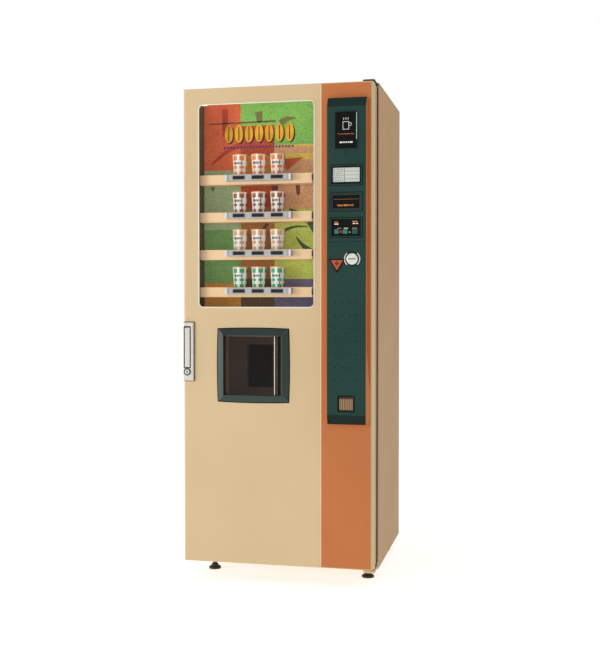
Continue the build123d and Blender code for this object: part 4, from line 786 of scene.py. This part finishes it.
def card_details():
    """A printed card of short lines that spell nothing, in a black frame."""
    x0, x1, y0, _, z0, z1 = span("price_card")
    grey = surface("card_grey", rgb(74, 82, 78), 0.5, vary=0.3, blotch=160)
    edge = 5 * MM
    ring("card_frame", inset(x0, x1, z0, z1, 0.3 * MM),
         box_outline(x0 + edge, x1 - edge, z0 + edge + 2 * MM, z1 - edge), y0 - 2.2 * MM,
         y0 - LAP, BLACK)
    lines = []
    inner = edge + 3 * MM
    rows = 7
    tall = (z1 - z0 - 2 * inner) / rows
    middle = x0 + 0.44 * (x1 - x0)
    for row in range(rows):
        z = z0 + inner + tall * (row + 0.5)
        start = x0 + inner
        while start < middle - 6 * MM:
            wide = random.uniform(3, 8) * MM
            lines.append(box_outline(start, min(start + wide, middle - 3 * MM), z - 0.9 * MM,
                                     z + 0.9 * MM))
            start += wide + random.uniform(1.5, 5) * MM
        if row % 2:
            lines.append(box_outline(middle + 3 * MM, x1 - inner, z - 0.5 * MM, z + 0.5 * MM))
    lines.append(box_outline(middle - 0.8 * MM, middle + 0.8 * MM, z0 + inner, z1 - inner))
    slab("card_lines", lines, y0 - 0.35 * MM, y0 - LAP, grey, soft=0.0)


def display_details():
    """A recessed screen with a row of lit dots that spell nothing."""
    x0, x1, y0, _, z0, z1 = span("display_module")
    frame_black = surface("display_frame", rgb(34, 32, 30), 0.4, vary=0.1)
    brown = surface("display_line", rgb(92, 64, 48), 0.4, vary=0.1)
    amber = surface("display_amber", rgb(222, 112, 28), 0.5, vary=0.1, glow=(1.0, 0.36, 0.06, 0.9))
    edge = 5 * MM
    ring("display_rim", inset(x0, x1, z0, z1, 0.3 * MM), inset(x0, x1, z0, z1, edge), y0 - 2.2 * MM,
         y0 - LAP, frame_black)
    z = z0 + 0.66 * (z1 - z0)
    slab("display_bar", [box_outline(x0 + 9 * MM, x1 - 9 * MM, z - 1.2 * MM, z + 1.2 * MM)],
         y0 - 0.8 * MM, y0 - LAP, brown)
    dots = []
    pitch = 1.5 * MM
    base = z0 + 0.24 * (z1 - z0)
    for k in range(40):
        if k % 6 == 5:
            continue
        for level in range(4):
            if random.random() < 0.5:
                x = x0 + 19 * MM + k * pitch
                dots.append(box_outline(x - 0.55 * MM, x + 0.55 * MM, base + level * pitch - 0.55 * MM,
                                        base + level * pitch + 0.55 * MM))
    slab("display_dots", dots, y0 - 0.3 * MM, y0 - LAP, amber, soft=0.0)


def status_details():
    """Small fields, keys and a lamp on the black status panel."""
    x0, x1, y0, _, z0, z1 = span("status_panel")
    tall = z1 - z0
    wide = x1 - x0
    orange = surface("print_orange", rgb(214, 112, 40), 0.5, vary=0.08)
    white = surface("print_white", rgb(226, 226, 220), 0.5, vary=0.04)
    teal = surface("print_teal", rgb(36, 112, 98), 0.45, vary=0.08)
    red = surface("print_red", rgb(142, 30, 22), 0.4, vary=0.08, glow=(0.8, 0.08, 0.04, 0.06))
    face = y0 - 0.4 * MM

    def tile(u0, u1, v0, v1):
        return box_outline(x0 + u0 * wide, x0 + u1 * wide, z0 + v0 * tall, z0 + v1 * tall)

    ring("status_rim", inset(x0, x1, z0, z1, 0.3 * MM), inset(x0, x1, z0, z1, 4 * MM), y0 - 1.6 * MM,
         y0 - LAP, BLACK)
    slab("status_orange", [tile(0.1, 0.22, 0.8, 0.85), tile(0.7, 0.88, 0.82, 0.88),
                           tile(0.2, 0.34, 0.44, 0.48), tile(0.7, 0.86, 0.44, 0.48)],
         face, y0 - LAP, orange, soft=0.0)
    slab("status_white", [tile(0.1, 0.24, 0.68, 0.74), tile(0.72, 0.8, 0.7, 0.76),
                          tile(0.83, 0.9, 0.7, 0.76), tile(0.42, 0.56, 0.44, 0.48),
                          tile(0.6, 0.63, 0.2, 0.26)],
         face, y0 - LAP, white, soft=0.0)
    keys = [tile(0.7 + 0.065 * i, 0.745 + 0.065 * i, 0.14 + 0.1 * j, 0.21 + 0.1 * j)
            for i in range(3) for j in range(3)]
    slab("status_keys", keys, face - 0.4 * MM, y0 - LAP, teal)
    slab("status_fields", [tile(0.1, 0.24, 0.14, 0.4), tile(0.38, 0.54, 0.14, 0.4)],
         face, y0 - LAP, teal, soft=0.0)
    slab("status_lamp", [disc_outline(x0 + 0.31 * wide, z0 + 0.26 * tall, 0.045 * wide, 24)],
         face - 0.2 * MM, y0 - LAP, red)


def coin_details():
    """The coin inlet's well, its two arcs and slot, and two small relief icons."""
    x0, x1, y0, _, z0, z1 = span("coin_inlet")
    x = (x0 + x1) / 2
    z = (z0 + z1) / 2
    radius = (x1 - x0) / 2
    dark = surface("inlet_dark", rgb(16, 22, 19), 0.3, vary=0.15, shine=0.2)
    bright = SLOTS["chrome_trim"]
    ring("inlet_well", disc_outline(x, z, radius + 4.5 * MM, 48),
         disc_outline(x, z, radius + 0.2 * MM, 48), COL_FACE - 2.4 * MM, COL_FACE - LAP, dark)
    for side, start in (("right", -48), ("left", 132)):
        outer = []
        inner = []
        for k in range(17):
            angle = math.radians(start + 96 * k / 16)
            outer.append((x + (radius + 8.5 * MM) * math.cos(angle),
                          z + (radius + 8.5 * MM) * math.sin(angle)))
            inner.append((x + (radius + 5 * MM) * math.cos(angle),
                          z + (radius + 5 * MM) * math.sin(angle)))
        slab(f"inlet_arc_{side}", [outer + inner[::-1]], COL_FACE - 3 * MM, COL_FACE - LAP,
             bright, soft=0.0004)
    slab("inlet_slot", [round_outline(x - 13 * MM, x + 13 * MM, z - 1.4 * MM, z + 1.4 * MM, 1.2 * MM)],
         y0 + 0.8 * MM, y0 + 3 * MM, dark, soft=0.0)
    icon = surface("relief_icon", rgb(22, 38, 33), 0.5, vary=0.1)
    coins = (x0 - 34 * MM, z + 26 * MM)
    cup = (x + 1 * MM, z - 46 * MM)
    slab("icon_coins", [disc_outline(coins[0] - 4 * MM, coins[1] + 5 * MM, 4 * MM, 20),
                        disc_outline(coins[0] + 5 * MM, coins[1] + 2 * MM, 4 * MM, 20),
                        box_outline(coins[0] - 9 * MM, coins[0] + 9 * MM, coins[1] - 8 * MM,
                                    coins[1] - 5 * MM)],
         COL_FACE - 0.5 * MM, COL_FACE - LAP, icon)
    slab("icon_cup", [[(cup[0] - 7 * MM, cup[1] - 7 * MM), (cup[0] + 7 * MM, cup[1] - 7 * MM),
                       (cup[0] + 3 * MM, cup[1] + 8 * MM), (cup[0] - 3 * MM, cup[1] + 8 * MM)]],
         COL_FACE - 0.5 * MM, COL_FACE - LAP, icon)


def return_button_details():
    """A dark outline round the triangular button, and a round mark on it."""
    x0, x1, y0, _, z0, z1 = span("coin_return_button")
    # The CAD node's box takes in the lip behind the cover, which spreads on every side.
    lip = 3 * MM
    left = x0 + 2 * lip
    right = x1 - 2 * lip
    top = z1 - lip
    tip = z0 + 2 * lip
    middle = (left + right) / 2
    inner = [(left - 1.4 * MM, top + 0.7 * MM), (right + 1.4 * MM, top + 0.7 * MM),
             (middle, tip - 1.6 * MM)]
    outer = [(left - 7 * MM, top + 3.6 * MM), (right + 7 * MM, top + 3.6 * MM), (middle, tip - 8 * MM)]
    ring("return_outline", outer, inner, COL_FACE - 3 * MM, COL_FACE - LAP, BLACK)
    mark = (middle, top - 11 * MM)
    ring("return_mark", disc_outline(mark[0], mark[1], 5.5 * MM, 24),
         disc_outline(mark[0], mark[1], 3.6 * MM, 24), y0 - 0.3 * MM, y0 - LAP, BLACK,
         body="coin_return")
    slab("return_mark_bar", [box_outline(mark[0] - 3 * MM, mark[0] + 3 * MM, mark[1] - 1 * MM,
                                         mark[1] + 1 * MM)],
         y0 - 0.3 * MM, y0 - LAP, BLACK, body="coin_return", soft=0.0)


def dot_grid():
    """Dark discs of painted shade in the grid of small holes on the lower column cover."""
    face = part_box("column_lower")[0].y
    columns = 4
    rows = 7
    pitch_x = 25.7 * MM
    pitch_z = 45.8 * MM
    drop = 717 * MM
    top = COL_TOP - drop
    hole_shades = []
    for column in range(columns):
        for row in range(rows):
            x = COL_X + (column - (columns - 1) / 2) * pitch_x
            hole_shades.append(disc_outline(x, top - row * pitch_z, 2.3 * MM, 14))
    slab("dot_hole_shades", hole_shades, face - 0.3 * MM, face + 1.2 * MM, BLACK, soft=0.0)


def pocket_details():
    """Outline round the coin return and ribs down its flap."""
    x0, x1, y0, _, z0, z1 = span("coin_return_flap")
    side = 27 * MM
    middle = (x0 + x1) / 2
    low = z0 - 1 * MM
    high = low + 50 * MM
    ring("pocket_outline", round_outline(middle - side - 4 * MM, middle + side + 4 * MM, low - 4 * MM,
                                         high + 4 * MM, 3 * MM),
         round_outline(middle - side, middle + side, low, high, 1 * MM), COL_FACE - 1.2 * MM,
         COL_FACE - LAP, BLACK)
    data = bmesh.new()
    count = 8
    reach = 24.5 * MM
    for k in range(count):
        x = middle - reach + 2 * reach * (k + 0.5) / count
        add_bar(data, (x - 1.6 * MM, y0 - 2.2 * MM, z0 + 1.5 * MM),
                (x + 1.6 * MM, y0 + 0.5 * MM, z1 - 7 * MM), 0.0005)
    light = surface("bronze_light", rgb(176, 138, 100), 0.4, metal=0.3, vary=0.1)
    finish_piece("flap_ribs", data, light, "return_flap")


# ---- Cup station, handle and lock ----
def station_details():
    """Trim on the smoked door and a pale strip of painted highlight on its grip edge; a pale line of
    painted highlight on the frame's inner edge, its mitres, a black strip of painted shade in the gap
    beside the door and a dark outline of painted shade round the frame.
    """
    x0, x1, y0, _, z0, z1 = span("cup_station_door")
    leaf_y = y0 + 7 * MM
    frame_low, frame_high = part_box("cup_station_frame")
    trim = surface("leaf_trim", rgb(128, 98, 74), 0.35, vary=0.1)
    pale = surface("leaf_painted_highlight", rgb(226, 220, 204), 0.25, metal=0.3, vary=0.05)
    data = bmesh.new()
    zs = (z0 + 6 * MM, z1 - 6 * MM)
    for step in (3, 10):
        add_bar(data, (x0 + step * MM, leaf_y - 0.8 * MM, zs[0]),
                (x0 + (step + 1.4) * MM, leaf_y + 0.3 * MM, zs[1]), 0.0002)
    add_bar(data, (x0 + 4 * MM, leaf_y - 0.7 * MM, zs[1] - 1.4 * MM),
            (x1 - 8 * MM, leaf_y + 0.3 * MM, zs[1]), 0.0002)
    finish_piece("leaf_trims", data, trim, "cup_door")
    # The pale strip on the grip edge is a painted highlight.
    data = bmesh.new()
    add_bar(data, (x1 - 6.2 * MM, y0 - 0.6 * MM, zs[0]), (x1 - 3.6 * MM, y0 + 0.4 * MM, zs[1]), 0.0004)
    finish_piece("leaf_grip_painted_highlight", data, pale, "cup_door")
    data = bmesh.new()
    half = 107 * MM
    edge = (frame_low.x + frame_high.x) / 2 + half
    middle = (frame_low.z + frame_high.z) / 2
    # A pale line on the frame's inner right edge, as a painted highlight.
    add_bar(data, (edge - 0.2 * MM, frame_low.y + 0.6 * MM, middle - half + 3 * MM),
            (edge + 0.9 * MM, frame_low.y + 2.4 * MM, middle + half - 3 * MM), 0.0002)
    finish_piece("station_edge_painted_highlight", data, trim, "door")
    # The four mitred corners of the bevelled frame.
    data = bmesh.new()
    centre = ((frame_low.x + frame_high.x) / 2, middle)
    outer_half = (frame_high.x - frame_low.x) / 2 - 3 * MM
    for sx in (-1, 1):
        for sz in (-1, 1):
            points = []
            for share in (0.06, 0.5, 0.96):
                reach = outer_half - (outer_half - half - 2 * MM) * share
                y = FRONT - 3 * MM - 11 * MM * share
                points.append((centre[0] + sx * reach, y - 0.1 * MM, centre[1] + sz * reach))
            add_tube(data, points, 0.35 * MM, 6)
    # A black strip behind the gap beside the door, as painted shade.
    slab("station_gap_painted_shade", [box_outline(x1 + 3 * MM, edge - 1.2 * MM, middle - half + MM,
                                      middle + half - MM)],
         leaf_y + 5 * MM, leaf_y + 7 * MM, BLACK, soft=0.0)
    # A dark outline round the frame, as painted shade on the door face.
    bowed = []
    bow = 3 * MM
    for side in range(4):
        for k in range(10):
            along = -1 + 0.2 * k
            out = outer_half + 0.2 * MM + bow * (1 - along * along)
            spot = (along * outer_half, -out)
            for _ in range(side):
                spot = (-spot[1], spot[0])
            bowed.append(spot)
    size = 1 + 3.4 * MM / outer_half
    ring("station_outline_painted_shade", [(centre[0] + x * size, centre[1] + z * size) for x, z in bowed],
         [(centre[0] + x, centre[1] + z) for x, z in bowed], FRONT - 0.5 * MM, FRONT - LAP,
         BLACK)
    light = surface("mitre_light", rgb(120, 136, 126), 0.5, vary=0.1)
    finish_piece("station_mitres", data, light, "door")


def handle_details():
    """Dark strips of painted shade round the handle plate and the lever's slot, the lever's grip and the
    lock's rose and keyhole.
    """
    _, _, y0, _, z0, z1 = span("handle_lever")
    px0, px1, py0, _, pz0, pz1 = span("handle_plate")
    dark = surface("handle_dark", rgb(24, 23, 21), 0.5, vary=0.1, shine=0.2)
    middle = px0 + 16.5 * MM
    half = 9.5 * MM
    gap = 1.5 * MM
    edge = py0 - 0.4 * MM
    # A dark ring in the lever's slot, as painted shade.
    ring("lever_slot_painted_shade", round_outline(middle - half - gap - 2.8 * MM, middle + half + gap + 2.8 * MM,
                                        z0 - gap - 2.8 * MM, z1 + gap + 2.8 * MM, 5 * MM),
         round_outline(middle - half - gap, middle + half + gap, z0 - gap, z1 + gap, 1 * MM), edge,
         py0 - LAP, dark)
    # Dark strips along the plate's edges, as painted shade on the door face.
    for name, low, high in (
            ("plate_shade_right", (px1 + 0.1 * MM, pz0 - 2 * MM), (px1 + 2.2 * MM, pz1 + 2 * MM)),
            ("plate_shade_low", (px0 + MM, pz0 - 2.2 * MM), (px1, pz0 - 0.1 * MM)),
            ("plate_shade_high", (px0 + MM, pz1 + 0.1 * MM), (px1, pz1 + 2.2 * MM))):
        slab(name, [box_outline(low[0], high[0], low[1], high[1])], FRONT - 0.6 * MM, FRONT - LAP,
             dark, soft=0.0)
    slab("lever_grip", [round_outline(middle - half + 3 * MM, middle + half - 3 * MM, z0 + 4 * MM,
                                      z1 - 9 * MM, 3 * MM)],
         y0 - 0.8 * MM, y0 + 0.3 * MM, SLOTS["steel_plate"], body="lever", soft=0.0004)
    lock_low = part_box("lock_cylinder")[0]
    lock_y0 = lock_low.y
    lock_x = lock_low.x + 12 * MM
    lock_z = pz1 - 181 * MM
    ring("lock_rose", disc_outline(lock_x, lock_z, 14.2 * MM, 40),
         disc_outline(lock_x, lock_z, 12.2 * MM, 40), py0 - 1.0 * MM, py0 - LAP, dark)
    ring("lock_groove", disc_outline(lock_x, lock_z, 11.4 * MM, 40),
         disc_outline(lock_x, lock_z, 8.4 * MM, 40), lock_y0 - 0.15 * MM, lock_y0 + 0.2 * MM, dark,
         body="lock")
    slab("lock_keyhole", [round_outline(lock_x - 2.2 * MM, lock_x + 2.2 * MM, lock_z - 4.2 * MM,
                                        lock_z + 4.2 * MM, 1.2 * MM)],
         lock_y0 - 0.2 * MM, lock_y0 + 0.2 * MM, dark, body="lock", soft=0.0)


# ---- Cabinet back and inside ----
def rear_details():
    """Pressed hoods over the vents."""
    data = bmesh.new()
    count = 9
    pitch = 24 * MM
    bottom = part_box("base_frame")[0].z
    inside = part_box("rear_panel")[1].y - 2 * MM
    reach = 112 * MM
    for lowest in (430 * MM, 1500 * MM):
        for row in range(count):
            z = bottom + lowest + row * pitch
            points = []
            for k in range(9):
                turn = math.radians(180 * k / 8)
                points.append((inside - 5 * MM * math.sin(turn) - 0.1 * MM, z + 6 * MM * math.cos(turn)))
            near = [data.verts.new((-reach, y, z)) for y, z in points]
            far = [data.verts.new((reach, y, z)) for y, z in points]
            data.faces.new(near)
            data.faces.new(far[::-1])
            for i in range(len(points)):
                j = (i + 1) % len(points)
                data.faces.new((near[i], far[i], far[j], near[j]))
    finish_piece("vent_hoods", data, SLOTS["cabinet_paint"], "cabinet")


def curved_run(start, end, sag, steps=14):
    """Points from start to end along a line that sags in the middle."""
    points = []
    for k in range(steps + 1):
        t = k / steps
        point = Vector(start).lerp(Vector(end), t)
        point.z -= sag * math.sin(math.pi * t)
        points.append(tuple(point))
    return points


def hoses():
    """Water hoses from the tank's valves to the mixer bowls."""
    mix_low, mix_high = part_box("mixer_units")
    tank_low, tank_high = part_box("hot_water_tank")
    silicone = surface("hose_silicone", rgb(206, 198, 178), 0.4, vary=0.05)
    data = bmesh.new()
    x_mid = (tank_low.x + tank_high.x) / 2
    y_mid = (tank_low.y + tank_high.y) / 2
    radius = 36 * MM
    pitch = (mix_high.x - mix_low.x - 2 * radius) / 3
    for k in range(4):
        start = (x_mid + (k - 1.5) * 40 * MM, y_mid, tank_high.z - 1 * MM)
        up = (start[0], start[1] - 15 * MM, start[2] + 26 * MM)
        bowl = (mix_low.x + radius + k * pitch, mix_low.y + 60 * MM, mix_high.z - 60 * MM)
        add_tube(data, [start, (start[0], start[1] - 3 * MM, start[2] + 16 * MM)]
                 + curved_run(up, bowl, 30 * MM), 4 * MM, 8)
    finish_piece("water_hoses", data, silicone, "cabinet", smooth=True)


make_camera()
make_stage()
dress_nodes()
shade_facets()
door_edges()
window_gasket()
picture_board()
board_shapes()
emblem()
shelf_details()
button_faces()
sample_cups()
for module in ("price_card", "display_module", "status_panel"):
    module_ring(module, 4 * MM, SLOTS["column_plastic"])
sign_details()
card_details()
display_details()
status_details()
coin_details()
return_button_details()
dot_grid()
pocket_details()
station_details()
handle_details()
rear_details()
hoses()
